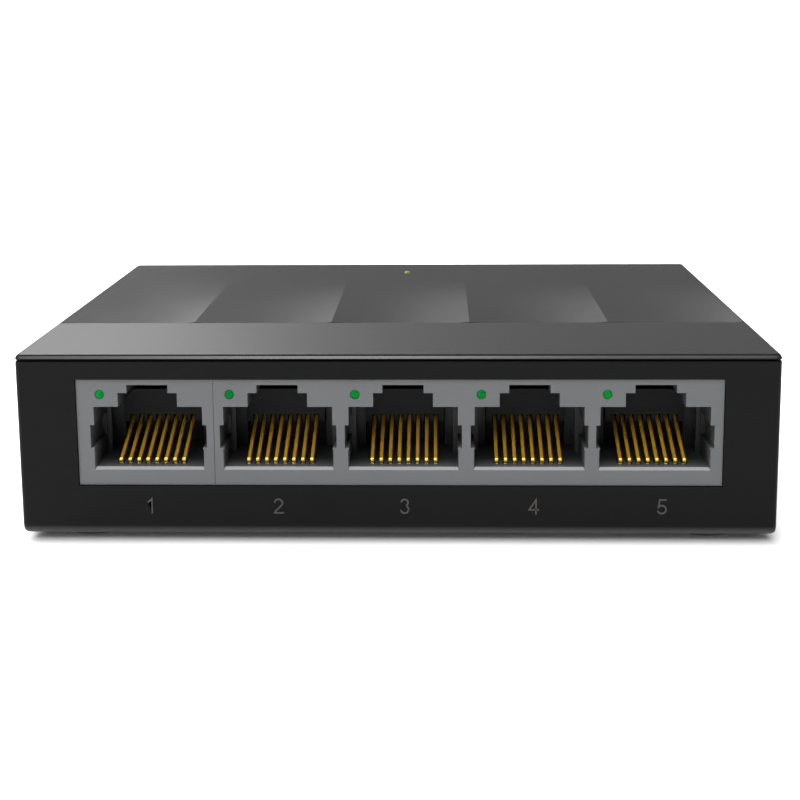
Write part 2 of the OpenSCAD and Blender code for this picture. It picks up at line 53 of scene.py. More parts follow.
# ------------------------------------------------------------------ sizes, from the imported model
SH0, SH1 = box_mm("bottom_shell")
CV0, CV1 = box_mm("top_cover")
XH, YH = SH1[0], SH1[1]                 # half width and half depth of the case
Z0 = SH0[2]                             # underside of the case
ZT = CV1[2]                             # top face
Z_RIM = SH1[2]                          # underside of the rim
Z_WALL = Z_RIM - 0.2                    # outer top edge of the walls
WALL = 1.8
FLOOR = Z0 + 1.8
XI, YI = XH - WALL, YH - WALL
Z_IN = ZT - 1.8
YF = -YH
CORNER = 0.6
FIT = 0.15
STRIP = 16.3
FACET = 16.6
RUN = 29.0
LED_P = box_mm("power_light_pipe")
POWER_XY = ((LED_P[0][0] + LED_P[1][0]) / 2, (LED_P[0][1] + LED_P[1][1]) / 2)
PORT_X = []
for i in range(1, 6):
    a, b = box_mm(f"port_{i}_contacts")
    PORT_X.append((a[0] + b[0]) / 2)
J1, J2 = box_mm("rj45_housing_single"), box_mm("rj45_housing_quad")
JY = J1[0][1]
JZ1 = J1[1][2]
JH = 11.88
JZ = JZ1 - JH
JD = 14.0
ZF = Z0 + 7.75
Z_MAIN = Z0 + 14.59
Z_STEP = Z0 + 16.13
Z_TAB = Z0 + 17.03
CAVITY = 12.9
SLOPE = math.radians(26)
PIV = (JY + 1.75, ZF + 0.34)
PITCH = 1.0
CARRIER = 7.5
NOTCH = PIV[1] + (CARRIER - 1.75) * math.tan(SLOPE) + 0.26
BOARD = box_mm("circuit_board")
ZB1 = BOARD[1][2]
BOSS = (35.5, 12.0)
FEET = [("foot_front_left", -1, -1), ("foot_front_right", 1, -1), ("foot_rear_left", -1, 1), ("foot_rear_right", 1, 1)]


# ------------------------------------------------------------------ materials
class N:
    """A node tree with short calls."""

    def __init__(self, name):
        self.mat = bpy.data.materials.new(name)
        self.mat.use_nodes = True
        self.t = self.mat.node_tree
        self.t.nodes.clear()
        self.out = self.t.nodes.new("ShaderNodeOutputMaterial")
        self.b = self.t.nodes.new("ShaderNodeBsdfPrincipled")
        self.t.links.new(self.b.outputs[0], self.out.inputs[0])
        self.co = self.t.nodes.new("ShaderNodeTexCoord").outputs["Object"]

    def node(self, kind, **props):
        n = self.t.nodes.new(kind)
        for k, v in props.items():
            setattr(n, k, v)
        return n

    def link(self, a, b):
        self.t.links.new(a, b)

    def stretch(self, sx, sy, sz, src=None):
        m = self.node("ShaderNodeMapping")
        m.inputs["Scale"].default_value = (sx, sy, sz)
        self.link(src or self.co, m.inputs["Vector"])
        return m.outputs[0]

    def noise(self, per_mm, detail=2.0, rough=0.5, src=None):
        n = self.node("ShaderNodeTexNoise")
        n.inputs["Scale"].default_value = 1000.0 * per_mm
        n.inputs["Detail"].default_value = detail
        n.inputs["Roughness"].default_value = rough
        self.link(src or self.co, n.inputs["Vector"])
        return n.outputs[0]

    def voronoi(self, per_mm, feature="F1", src=None):
        n = self.node("ShaderNodeTexVoronoi", feature=feature)
        n.inputs["Scale"].default_value = 1000.0 * per_mm
        self.link(src or self.co, n.inputs["Vector"])
        return n.outputs["Distance"]

    def span(self, v, lo, hi, a=0.0, b=1.0):
        n = self.node("ShaderNodeMapRange")
        n.inputs["From Min"].default_value = lo
        n.inputs["From Max"].default_value = hi
        n.inputs["To Min"].default_value = a
        n.inputs["To Max"].default_value = b
        self.link(v, n.inputs["Value"])
        return n.outputs[0]

    def math(self, op, a, b=None):
        n = self.node("ShaderNodeMath", operation=op)
        for i, v in enumerate((a, b)):
            if v is None:
                continue
            if isinstance(v, (int, float)):
                n.inputs[i].default_value = v
            else:
                self.link(v, n.inputs[i])
        return n.outputs[0]

    def mix(self, f, a, b):
        n = self.node("ShaderNodeMix", data_type="RGBA")
        for key, v in (("Factor", f), ("A", a), ("B", b)):
            s = [q for q in n.inputs if q.name == key and q.enabled and (q.type == "RGBA" or key == "Factor")][0]
            if isinstance(v, (tuple, list)):
                s.default_value = (*v[:3], 1.0)
            elif isinstance(v, (int, float)):
                s.default_value = v
            else:
                self.link(v, s)
        return [o for o in n.outputs if o.type == "RGBA"][0]

    def bump(self, h, um, strength=1.0, base=None):
        n = self.node("ShaderNodeBump")
        n.inputs["Strength"].default_value = strength
        n.inputs["Distance"].default_value = um * 1e-6
        self.link(h, n.inputs["Height"])
        if base is not None:
            self.link(base, n.inputs["Normal"])
        return n.outputs[0]

    def pointy(self, lo=0.5, hi=0.56):
        g = self.node("ShaderNodeNewGeometry")
        return self.span(g.outputs["Pointiness"], lo, hi)

    def set(self, **kw):
        for k, v in kw.items():
            s = self.b.inputs[k.replace("_", " ")]
            if isinstance(v, (int, float)):
                s.default_value = v
            elif isinstance(v, (tuple, list)):
                s.default_value = (*v[:3], 1.0) if s.type == "RGBA" else v
            else:
                self.link(v, s)
        return self


def moulded(name, base, light, rough=(0.36, 0.48), spec=0.5, grain=7.0, grain_um=5.0, cloud=0.035, edge=None, foot=None):
    """Moulded plastic: spark-eroded grain, faint flow clouds, slightly polished edges, and a painted reflection: a
    paler base colour on the downward-facing round along the foot.
    """
    m = N(name)
    cloud_n = m.noise(cloud, 3.0, 0.55)
    fine = m.noise(grain, 3.0, 0.6)
    mid = m.noise(grain * 0.22, 2.0, 0.5)
    col = m.mix(m.span(cloud_n, 0.35, 0.65), base, light)
    speck = m.mix(m.span(fine, 0.42, 0.62), tuple(0.9 * c for c in base), (1.08 * light[0], 1.08 * light[1], 1.08 * light[2]))
    col = m.mix(0.35, col, speck)
    if edge:
        col = m.mix(m.math("MULTIPLY", m.pointy(0.52, 0.6), 0.5), col, edge)
    # foot: painted reflection, a paler base colour on the downward-facing round below Z0 + 1.3 mm that stands in for
    # the floor's reflection
    if foot:
        true = m.node("ShaderNodeSeparateXYZ")
        m.link(m.node("ShaderNodeNewGeometry").outputs["Normal"], true.inputs[0])
        co = m.node("ShaderNodeSeparateXYZ")
        m.link(m.co, co.inputs[0])
        low = m.math("MULTIPLY", m.span(true.outputs[2], -0.08, -0.72), m.math("LESS_THAN", co.outputs[2], (Z0 + 1.3) * MM))
        col = m.mix(low, col, foot)
    r = m.math("ADD", m.span(cloud_n, 0.3, 0.7, rough[0], rough[1]), m.span(fine, 0.3, 0.7, -0.03, 0.03))
    h = m.math("ADD", m.math("MULTIPLY", fine, 0.7), m.math("MULTIPLY", mid, 0.5))
    m.set(Base_Color=col, Roughness=r, Specular_IOR_Level=spec, Normal=m.bump(h, grain_um))
    return m.mat


def cover_plastic(name):
    """Black cover: matt strip in front, satin facets behind it whose faces lean a little more towards their right front corners."""
    m = N(name)
    sep = m.node("ShaderNodeSeparateXYZ")
    m.link(m.co, sep.inputs[0])
    x, y = sep.outputs[0], sep.outputs[1]
    yg = (YF + STRIP) * MM
    cell = m.math("ADD", m.math("MULTIPLY", x, 1 / (FACET * MM)), 2.5)
    u = m.math("FRACT", cell)
    v = m.math("MULTIPLY", m.math("SUBTRACT", y, yg), 1 / (RUN * MM))
    behind = m.math("GREATER_THAN", v, 0.0)
    left = m.node("ShaderNodeMath", operation="SUBTRACT", use_clamp=True)
    left.inputs[0].default_value = 1.0
    m.link(m.math("MAXIMUM", v, 0.0), left.inputs[1])
    fade = left.outputs[0]
    i = m.math("FLOOR", cell)
    bend = m.math("SUBTRACT", 2.6, m.math("MULTIPLY", m.math("MINIMUM", i, 2.0), 0.75))
    size = m.math("ADD", 0.048, m.math("MULTIPLY", m.math("MINIMUM", i, 1.0), 0.030))
    size = m.math("SUBTRACT", size, m.math("MULTIPLY", m.math("MAXIMUM", m.math("SUBTRACT", i, 2.0), 0.0), 0.008))
    lean = m.math("MULTIPLY", m.math("MULTIPLY", m.math("POWER", u, bend), size), m.math("POWER", fade, 0.45))
    back = m.math("MULTIPLY", m.math("POWER", m.math("SUBTRACT", 1.0, u), 2.0), fade)
    ty = m.math("MULTIPLY", m.math("ADD", m.math("MULTIPLY", lean, -1.0), m.math("MULTIPLY", back, 0.02)), behind)
    comb = m.node("ShaderNodeCombineXYZ")
    m.link(ty, comb.inputs[1])
    geo = m.node("ShaderNodeNewGeometry")
    add = m.node("ShaderNodeVectorMath", operation="ADD")
    m.link(geo.outputs["Normal"], add.inputs[0])
    m.link(comb.outputs[0], add.inputs[1])
    unit = m.node("ShaderNodeVectorMath", operation="NORMALIZE")
    m.link(add.outputs[0], unit.inputs[0])
    cloud, fine, mid = m.noise(0.03, 3.0, 0.55), m.noise(6.0, 3.0, 0.6), m.noise(1.3, 2.0)
    col = m.mix(m.span(cloud, 0.35, 0.65), (0.0072, 0.0072, 0.0075), (0.0088, 0.0088, 0.009))
    col = m.mix(m.span(fine, 0.45, 0.65, 0.0, 0.4), col, (0.0105, 0.0105, 0.0108))
    rough = m.math("ADD", m.span(v, -0.004, 0.004, 0.41, 0.20), m.math("ADD", m.span(fine, 0.3, 0.7, -0.02, 0.02), m.span(cloud, 0.3, 0.7, -0.012, 0.012)))
    h = m.math("ADD", m.math("MULTIPLY", fine, 0.7), m.math("MULTIPLY", mid, 0.5))
    # the rolled edge is polished by the mould, and the bottom of the groove stays dull
    true = m.node("ShaderNodeSeparateXYZ")
    m.link(geo.outputs["True Normal"], true.inputs[0])
    edge = m.math("MULTIPLY", m.span(true.outputs[2], 0.50, 0.55, 1.0, 0.0), m.span(true.outputs[2], 0.36, 0.41))
    roll = m.math("MULTIPLY", m.span(true.outputs[2], 0.93, 0.985, 1.0, 0.0), m.math("SUBTRACT", 1.0, edge))
    groove = m.math("LESS_THAN", m.math("ABSOLUTE", m.math("SUBTRACT", y, yg)), 0.165 * MM)
    edge = m.math("MULTIPLY", edge, m.math("SUBTRACT", 1.0, groove))
    rough = m.math("ADD", rough, m.math("MULTIPLY", m.math("SUBTRACT", 0.25, rough), edge))
    dull = m.math("SUBTRACT", 1.0, m.math("MULTIPLY", m.math("MAXIMUM", groove, m.math("MULTIPLY", roll, 0.8)), 0.95))
    spec = m.math("MULTIPLY", m.math("ADD", m.math("MULTIPLY", edge, 0.15), 0.15), dull)
    m.set(Base_Color=col, Roughness=rough, Specular_IOR_Level=spec, Normal=m.bump(h, 3.0, base=unit.outputs[0]))
    return m.mat


def socket_plastic(name):
    """Grey face plate; inside the sockets the colour is painted darker with depth, a painted shade, and the chamfers
    round the mouths are painted lighter, a painted highlight.
    """
    m = N(name)
    sep = m.node("ShaderNodeSeparateXYZ")
    m.link(m.co, sep.inputs[0])
    # painted shade: the walls' colour fades towards near-black with depth into each socket
    deep = m.span(sep.outputs[1], (JY + 0.2) * MM, (JY + 3.4) * MM)
    deep = m.math("POWER", deep, 0.6)
    cloud = m.noise(0.09, 3.0, 0.55)
    fine = m.noise(8.0, 3.0, 0.6)
    face = m.mix(m.span(cloud, 0.35, 0.65), (0.069, 0.071, 0.074), (0.076, 0.078, 0.081))
    face = m.mix(m.span(fine, 0.4, 0.62, 0.0, 0.25), face, (0.083, 0.085, 0.088))
    painted_depth_shade = m.mix(m.span(fine, 0.35, 0.65), (0.0075, 0.008, 0.0088), (0.011, 0.0115, 0.0125))
    # the chamfers round the mouths are polished by the mould: lower roughness and more specular; their base colour is
    # painted lighter as well, a painted highlight
    geo = m.node("ShaderNodeNewGeometry")
    true = m.node("ShaderNodeSeparateXYZ")
    m.link(geo.outputs["True Normal"], true.inputs[0])
    lip = m.math("MULTIPLY", m.span(true.outputs[2], 0.3, 0.4), m.math("LESS_THAN", sep.outputs[1], (JY + 0.34) * MM))
    rough = m.math("ADD", m.span(cloud, 0.3, 0.7, 0.46, 0.56), m.span(fine, 0.3, 0.7, -0.03, 0.03))
    rough = m.math("ADD", rough, m.math("MULTIPLY", m.math("SUBTRACT", 0.25, rough), lip))
    # painted light and shade: lighter colour on the mouth chamfers, darker colour deeper in the sockets
    lit = m.mix(lip, m.mix(deep, face, painted_depth_shade), (0.115, 0.118, 0.122))
    m.set(Base_Color=lit, Roughness=rough,
          Specular_IOR_Level=m.math("ADD", 0.35, m.math("MULTIPLY", lip, 0.2)), Normal=m.bump(m.math("ADD", m.math("MULTIPLY", fine, 0.7), m.math("MULTIPLY", m.noise(1.8), 0.5)), 3.0))
    return m.mat


def metal(name, base, dark, rough=0.25, brushed=(1, 1, 1), um=1.5, scale=4.0, tarnish=0.25):
    m = N(name)
    streak = m.noise(scale, 3.0, 0.6, m.stretch(*brushed))
    spots = m.noise(0.35, 4.0, 0.6)
    col = m.mix(m.span(spots, 0.45, 0.75, 0.0, tarnish), base, dark)
    m.set(Base_Color=col, Metallic=1.0, Roughness=m.math("ADD", m.span(streak, 0.3, 0.7, rough * 0.7, rough * 1.35), m.span(spots, 0.4, 0.8, 0.0, 0.1)),
          Normal=m.bump(streak, um))
    return m.mat


def gilded(name):
    """Gold-plated spring wire, dulled a little so that it takes light from every side."""
    m = N(name)
    streak = m.noise(2.5, 2.0, 0.5, m.stretch(1, 0.08, 0.08))
    spots = m.noise(0.5, 3.0, 0.5)
    col = m.mix(m.span(spots, 0.45, 0.75, 0.0, 0.35), (0.86, 0.47, 0.024), (0.60, 0.30, 0.015))
    m.set(Base_Color=col, Metallic=0.72, Roughness=m.span(streak, 0.3, 0.7, 0.24, 0.36), Specular_IOR_Level=0.5,
          Normal=m.bump(streak, 0.5))
    return m.mat


def tinted(name, base, deep, painted_glow, strength):
    """Tinted clear plastic of a light pipe, with a faint emission that is a painted glow."""
    m = N(name)
    n = m.noise(0.8, 2.0)
    m.set(Base_Color=m.mix(m.span(n, 0.35, 0.65), base, deep), Roughness=m.span(m.noise(5.0), 0.3, 0.7, 0.1, 0.2),
          Transmission_Weight=0.03, IOR=1.49, Specular_IOR_Level=0.03, Emission_Color=painted_glow, Emission_Strength=strength,
          Normal=m.bump(m.noise(3.0), 1.0))
    return m.mat


def rubber(name):
    m = N(name)
    fine = m.noise(9.0, 3.0)
    dust = m.noise(0.9, 5.0, 0.7)
    m.set(Base_Color=m.mix(m.span(dust, 0.5, 0.78, 0.0, 0.6), (0.082, 0.082, 0.084), (0.12, 0.118, 0.114)), Roughness=m.span(fine, 0.3, 0.7, 0.68, 0.85),
          Specular_IOR_Level=0.35, Normal=m.bump(fine, 10.0))
    return m.mat


def board_material():
    """Solder mask over copper tracks on a glass-epoxy board."""
    m = N("board_laminate")
    weave = m.math("MULTIPLY", m.noise(1.6, 1.0, 0.5, m.stretch(1, 0.15, 1)), m.noise(1.6, 1.0, 0.5, m.stretch(0.15, 1, 1)))
    brick = m.node("ShaderNodeTexBrick")
    brick.inputs["Scale"].default_value = 150.0
    brick.inputs["Mortar Size"].default_value = 0.055
    brick.inputs["Mortar Smooth"].default_value = 0.1
    brick.inputs["Brick Width"].default_value = 0.9
    brick.inputs["Row Height"].default_value = 0.16
    m.link(m.co, brick.inputs["Vector"])
    tracks = brick.outputs["Fac"]
    col = m.mix(tracks, (0.006, 0.055, 0.025), (0.018, 0.13, 0.055))
    col = m.mix(m.span(weave, 0.15, 0.4, 0.0, 0.35), col, (0.01, 0.08, 0.04))
    m.set(Base_Color=col, Roughness=m.span(m.noise(0.5), 0.3, 0.7, 0.22, 0.34), Specular_IOR_Level=0.6,
          Normal=m.bump(m.math("ADD", tracks, m.math("MULTIPLY", weave, 0.4)), 18.0))
    return m.mat


def film_material():
    """Blank silver film with a brushed face."""
    m = N("label_film")
    s = m.noise(2.2, 3.0, 0.6, m.stretch(0.06, 1, 1))
    m.set(Base_Color=m.mix(m.span(s, 0.3, 0.7), (0.5, 0.51, 0.52), (0.6, 0.61, 0.62)), Metallic=0.35,
          Roughness=m.span(s, 0.3, 0.7, 0.32, 0.45), Normal=m.bump(s, 1.5))
    return m.mat


def ceramic_material():
    """Chip capacitor: brown ceramic of a mottled tone."""
    m = N("ceramic")
    n = m.noise(2.0, 3.0)
    m.set(Base_Color=m.mix(m.span(n, 0.3, 0.7), (0.34, 0.22, 0.12), (0.42, 0.29, 0.17)), Roughness=m.span(n, 0.3, 0.7, 0.3, 0.45),
          Normal=m.bump(n, 4.0))
    return m.mat


M = {
    "cover": cover_plastic("cover_plastic"),
    # foot= paints a paler base colour on the round along the case's foot, a painted reflection of the floor
    "case": moulded("case_plastic", (0.0034, 0.0034, 0.0036), (0.0042, 0.0042, 0.0044), rough=(0.38, 0.44), spec=0.065, grain=6.0, grain_um=5.0, foot=(0.060, 0.060, 0.061)),
    "digit": moulded("number_paint", (0.032, 0.029, 0.027), (0.040, 0.036, 0.034), rough=(0.45, 0.55), spec=0.3, grain=9.0, grain_um=2.0),
    "jack": socket_plastic("jack_plastic"),
    "carrier": moulded("carrier_plastic", (0.0048, 0.005, 0.0056), (0.0064, 0.0066, 0.0072), rough=(0.42, 0.52), spec=0.1, grain=8.0, grain_um=3.0),
    "inlet": moulded("inlet_plastic", (0.012, 0.012, 0.013), (0.016, 0.016, 0.017), rough=(0.25, 0.35), spec=0.5, grain=9.0, grain_um=2.0),
    "epoxy": moulded("chip_epoxy", (0.014, 0.014, 0.015), (0.022, 0.022, 0.023), rough=(0.5, 0.62), spec=0.4, grain=10.0, grain_um=6.0, cloud=0.2),
    "ferrite": moulded("ferrite", (0.03, 0.03, 0.031), (0.05, 0.049, 0.047), rough=(0.55, 0.7), spec=0.4, grain=5.0, grain_um=12.0, cloud=0.3),
    "sleeve": moulded("capacitor_sleeve", (0.010, 0.013, 0.035), (0.014, 0.018, 0.045), rough=(0.2, 0.3), spec=0.5, grain=4.0, grain_um=2.0),
    "gold": gilded("contact_gold"),
    "tin": metal("tin_plate", (0.72, 0.72, 0.72), (0.5, 0.49, 0.47), rough=0.3, um=1.5),
    "steel": metal("screw_steel", (0.62, 0.62, 0.63), (0.4, 0.4, 0.4), rough=0.26, um=1.2, scale=6.0),
    "can": metal("crystal_can", (0.75, 0.75, 0.76), (0.6, 0.6, 0.6), rough=0.22, brushed=(0.1, 1, 1), um=0.8),
    # the third colour and the last number paint a faint glow into the light pipes
    "green": tinted("green_light_pipe", (0.0, 0.125, 0.016), (0.0, 0.08, 0.010), (0.0, 0.45, 0.05), 0.07),
    "amber": tinted("amber_light_pipe", (0.16, 0.20, 0.02), (0.10, 0.13, 0.015), (0.45, 0.55, 0.05), 0.06),
    "ledbody": moulded("led_body", (0.62, 0.62, 0.5), (0.7, 0.7, 0.58), rough=(0.3, 0.4), spec=0.5, grain=9.0, grain_um=2.0),
    "rubber": rubber("foot_rubber"),
    "board": board_material(),
    "label": film_material(),
    "ceramic": ceramic_material(),
}


# ------------------------------------------------------------------ mesh helpers (all in mm)
def make(name, verts, faces, mat=None, smooth=32.0):
    me = bpy.data.meshes.new(name)
    me.from_pydata([(x * MM, y * MM, z * MM) for x, y, z in verts], [], faces)
    me.validate()
    bm = bmesh.new()
    bm.from_mesh(me)
    bmesh.ops.recalc_face_normals(bm, faces=bm.faces)
    if bm.calc_volume(signed=True) < 0:
        bmesh.ops.reverse_faces(bm, faces=bm.faces)
    bm.to_mesh(me)
    bm.free()
    o = bpy.data.objects.new(name, me)
    bpy.context.scene.collection.objects.link(o)
    if mat is not None:
        me.materials.append(mat)
    shade(o, smooth)
    return o


def shade(o, angle):
    me = o.data
    me.polygons.foreach_set("use_smooth", [True] * len(me.polygons))
    if angle is not None:
        me.set_sharp_from_angle(angle=math.radians(angle))


def bake(o, smooth=32.0):
    """Applies the modifiers of o and returns it."""
    dg = bpy.context.evaluated_depsgraph_get()
    me = bpy.data.meshes.new_from_object(o.evaluated_get(dg), preserve_all_data_layers=True, depsgraph=dg)
    old = o.data
    o.modifiers.clear()
    o.data = me
    bpy.data.meshes.remove(old)
    shade(o, smooth)
    return o


def drop(o):
    me = o.data
    bpy.data.objects.remove(o)
    if me.users == 0:
        bpy.data.meshes.remove(me)


def join(objs, name):
    """One mesh object out of several, without operators."""
    bm = bmesh.new()
    for o in objs:
        bm.from_mesh(o.data)
    me = bpy.data.meshes.new(name)
    bm.to_mesh(me)
    bm.free()
    mats = objs[0].data.materials[:]
    for o in objs:
        drop(o)
    for m in mats:
        me.materials.append(m)
    o = bpy.data.objects.new(name, me)
    bpy.context.scene.collection.objects.link(o)
    shade(o, 32)
    return o


def boolean(o, tools, op="DIFFERENCE", smooth=32.0, keep=False):
    tool = join(tools, "tool") if len(tools) > 1 else tools[0]
    m = o.modifiers.new("b", "BOOLEAN")
    m.operation, m.solver, m.object = op, "EXACT", tool
    if hasattr(m, "use_self"):
        m.use_self = len(tools) > 1
    bpy.context.view_layer.update()
    bake(o, smooth)
    if not keep:
        drop(tool)
    return o


def bevel(o, width, segments=2, angle=40.0, smooth=32.0, clamp=True):
    tidy(o)
    m = o.modifiers.new("v", "BEVEL")
    m.width, m.segments, m.limit_method, m.angle_limit = width * MM, segments, "ANGLE", math.radians(angle)
    m.use_clamp_overlap = clamp
    m.harden_normals = False
    m.miter_outer = "MITER_ARC"
    bake(o, smooth)
    return o


def tidy(o, dist=0.004):
    bm = bmesh.new()
    bm.from_mesh(o.data)
    bmesh.ops.remove_doubles(bm, verts=bm.verts, dist=dist * MM)
    bmesh.ops.dissolve_degenerate(bm, dist=0.001 * MM, edges=bm.edges)
    bmesh.ops.dissolve_limit(bm, angle_limit=math.radians(0.6), verts=bm.verts, edges=bm.edges)
    bm.to_mesh(o.data)
    bm.free()
    return o


def block(a, b, name="block", mat=None):
    (x0, y0, z0), (x1, y1, z1) = [min(p, q) for p, q in zip(a, b)], [max(p, q) for p, q in zip(a, b)]
    v = [(x, y, z) for z in (z0, z1) for y in (y0, y1) for x in (x0, x1)]
    f = [(0, 2, 3, 1), (4, 5, 7, 6), (0, 1, 5, 4), (2, 6, 7, 3), (0, 4, 6, 2), (1, 3, 7, 5)]
    return make(name, v, f, mat)


def lathe(points, centre, axis="Z", n=48, name="lathe", mat=None, smooth=32.0):
    """Closed solid of revolution from (radius, height) points, first and last on the axis."""
    rings, verts, faces = [], [], []

    def put(r, h, a):
        c, s = r * math.cos(a), r * math.sin(a)
        p = {"Z": (c, s, h), "Y": (c, h, -s), "X": (h, c, s)}[axis]
        return (p[0] + centre[0], p[1] + centre[1], p[2] + centre[2])

    for r, h in points:
        if r < 1e-6:
            rings.append([len(verts)])
            verts.append(put(0, h, 0))
        else:
            rings.append(list(range(len(verts), len(verts) + n)))
            verts += [put(r, h, 2 * math.pi * k / n) for k in range(n)]
    for p, q in zip(rings, rings[1:]):
        for k in range(n):
            k2 = (k + 1) % n
            if len(p) == 1 and len(q) == 1:
                continue
            if len(p) == 1:
                faces.append((p[0], q[k], q[k2]))
            elif len(q) == 1:
                faces.append((p[k], q[0], p[k2]))
            else:
                faces.append((p[k], q[k], q[k2], p[k2]))
    return make(name, verts, faces, mat, smooth)


def drum(r, z0, z1, centre, axis="Z", n=48, name="drum", mat=None):
    return lathe([(0, z0), (r, z0), (r, z1), (0, z1)], centre, axis, n, name, mat)


def prism(profile, lo, hi, axis="X", name="prism", mat=None):
    """Extrude a closed outline of (a, b) points along an axis: X takes (y, z), Y takes (x, z), Z takes (x, y)."""
    put = {"X": lambda a, b, t: (t, a, b), "Y": lambda a, b, t: (a, t, b), "Z": lambda a, b, t: (a, b, t)}[axis]
    n = len(profile)
    v = [put(a, b, lo) for a, b in profile] + [put(a, b, hi) for a, b in profile]
    f = [tuple(range(n)), tuple(range(2 * n - 1, n - 1, -1))] + [(k, (k + 1) % n, n + (k + 1) % n, n + k) for k in range(n)]
    return make(name, v, f, mat)


def rounded(w, d, r, n=6, cx=0.0, cy=0.0):
    """Outline of a rectangle with rounded corners."""
    out = []
    for q in range(4):
        for i in range(n + 1):
            a = math.radians(q * 90 + i * 90 / n)
            sx = (1 if q in (0, 3) else -1) * (w / 2 - r)
            sy = (1 if q in (0, 1) else -1) * (d / 2 - r)
            out.append((cx + sx + r * math.cos(a), cy + sy + r * math.sin(a)))
    return out


def loft(loops, name, mat=None, smooth=32.0, caps=True):
    """Skin a stack of outlines [(points, z), ...] that have the same number of points."""
    verts, faces = [], []
    n = len(loops[0][0])
    for pts, z in loops:
        verts += [(x, y, z) for x, y in pts]
    for k in range(len(loops) - 1):
        for i in range(n):
            j = (i + 1) % n
            faces.append((k * n + i, k * n + j, (k + 1) * n + j, (k + 1) * n + i))
    if caps:
        faces.append(tuple(range(n - 1, -1, -1)))
        faces.append(tuple(range((len(loops) - 1) * n, len(loops) * n)))
    return make(name, verts, faces, mat, smooth)


def arc(cx, cy, r, a0, a1, n):
    return [(cx + r * math.cos(math.radians(a0 + (a1 - a0) * i / n)), cy + r * math.sin(math.radians(a0 + (a1 - a0) * i / n))) for i in range(n + 1)]


def ribbon(path, w, caps=6):
    """Outline of a stroke of width w along a path, with round ends."""
    left, right = [], []
    n = len(path)
    for i, (x, y) in enumerate(path):
        a, b = path[max(i - 1, 0)], path[min(i + 1, n - 1)]
        d0 = math.atan2(path[i][1] - a[1], path[i][0] - a[0]) if i else math.atan2(b[1] - y, b[0] - x)
        d1 = math.atan2(b[1] - y, b[0] - x) if i < n - 1 else d0
        turn = (d1 - d0 + math.pi) % (2 * math.pi) - math.pi
        mid = d0 + turn / 2
        k = w / 2 / max(math.cos(turn / 2), 0.35)
        left.append((x - k * math.sin(mid), y + k * math.cos(mid)))
        right.append((x + k * math.sin(mid), y - k * math.cos(mid)))
    d = math.degrees(math.atan2(path[-1][1] - path[-2][1], path[-1][0] - path[-2][0]))
    end = arc(path[-1][0], path[-1][1], w / 2, d - 90, d + 90, caps)
    d = math.degrees(math.atan2(path[0][1] - path[1][1], path[0][0] - path[1][0]))
    start = arc(path[0][0], path[0][1], w / 2, d - 90, d + 90, caps)
    return right[:-1][1:] and start + right[1:-1] + end + left[1:-1][::-1]


def place(o, body, mat_slot, *nodes, weighted=True):
    if weighted:
        w = o.modifiers.new("weighted", "WEIGHTED_NORMAL")
        w.keep_sharp, w.weight, w.mode = True, 60, "FACE_AREA"
    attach(o, body)
    if nodes:
        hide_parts(*nodes)
    return o




# ------------------------------------------------------------------ top cover
YG = YF + STRIP


def relief(x, y):
    """Depth of the pattern in the top face: a groove, and behind it five shallow scoops that meet in ridges and die out to the rear."""
    d = 0.0
    if y > YG:
        t = (x + 2.5 * FACET) / FACET
        i = min(4, max(0, int(math.floor(t))))
        u = min(1.0, max(0.0, t - i))
        v = min(1.0, (y - YG) / RUN)
        fade = 0.5 + 0.5 * math.cos(math.pi * v)
        d = DEEP * 4 * u * (1 - u) * (0.5 + 0.5 * u) * fade
        edge = min(1.0, (XH - abs(x)) / 1.2)
        d *= edge * edge * (3 - 2 * edge)
    if abs(y - YG) < 0.15:
        d = max(d, 0.3)
    return d


DEEP = 0.22


def grid_lines():
    xs = set()
    e = 0.62
    for i in range(5):
        a = (i - 2.5) * FACET
        for k in range(25):
            xs.add(round(a + FACET * k / 24, 4))
    xs = [x for x in sorted(xs) if abs(x) < XH - e - 0.15]
    xs = [-(XH - e)] + xs + [XH - e]
    ys = [-(YH - e)]
    ys += [YF + e + (STRIP - 0.16 - e) * k / 8 for k in range(1, 9)]
    ys += [YG - 0.14, YG + 0.14, YG + 0.16]
    n = 30
    ys += [YG + 0.16 + (RUN - 0.16) * k / n for k in range(1, n + 1)]
    rest = YH - e - ys[-1]
    ys += [ys[-1] + rest * k / 6 for k in range(1, 7)]
    return xs, ys


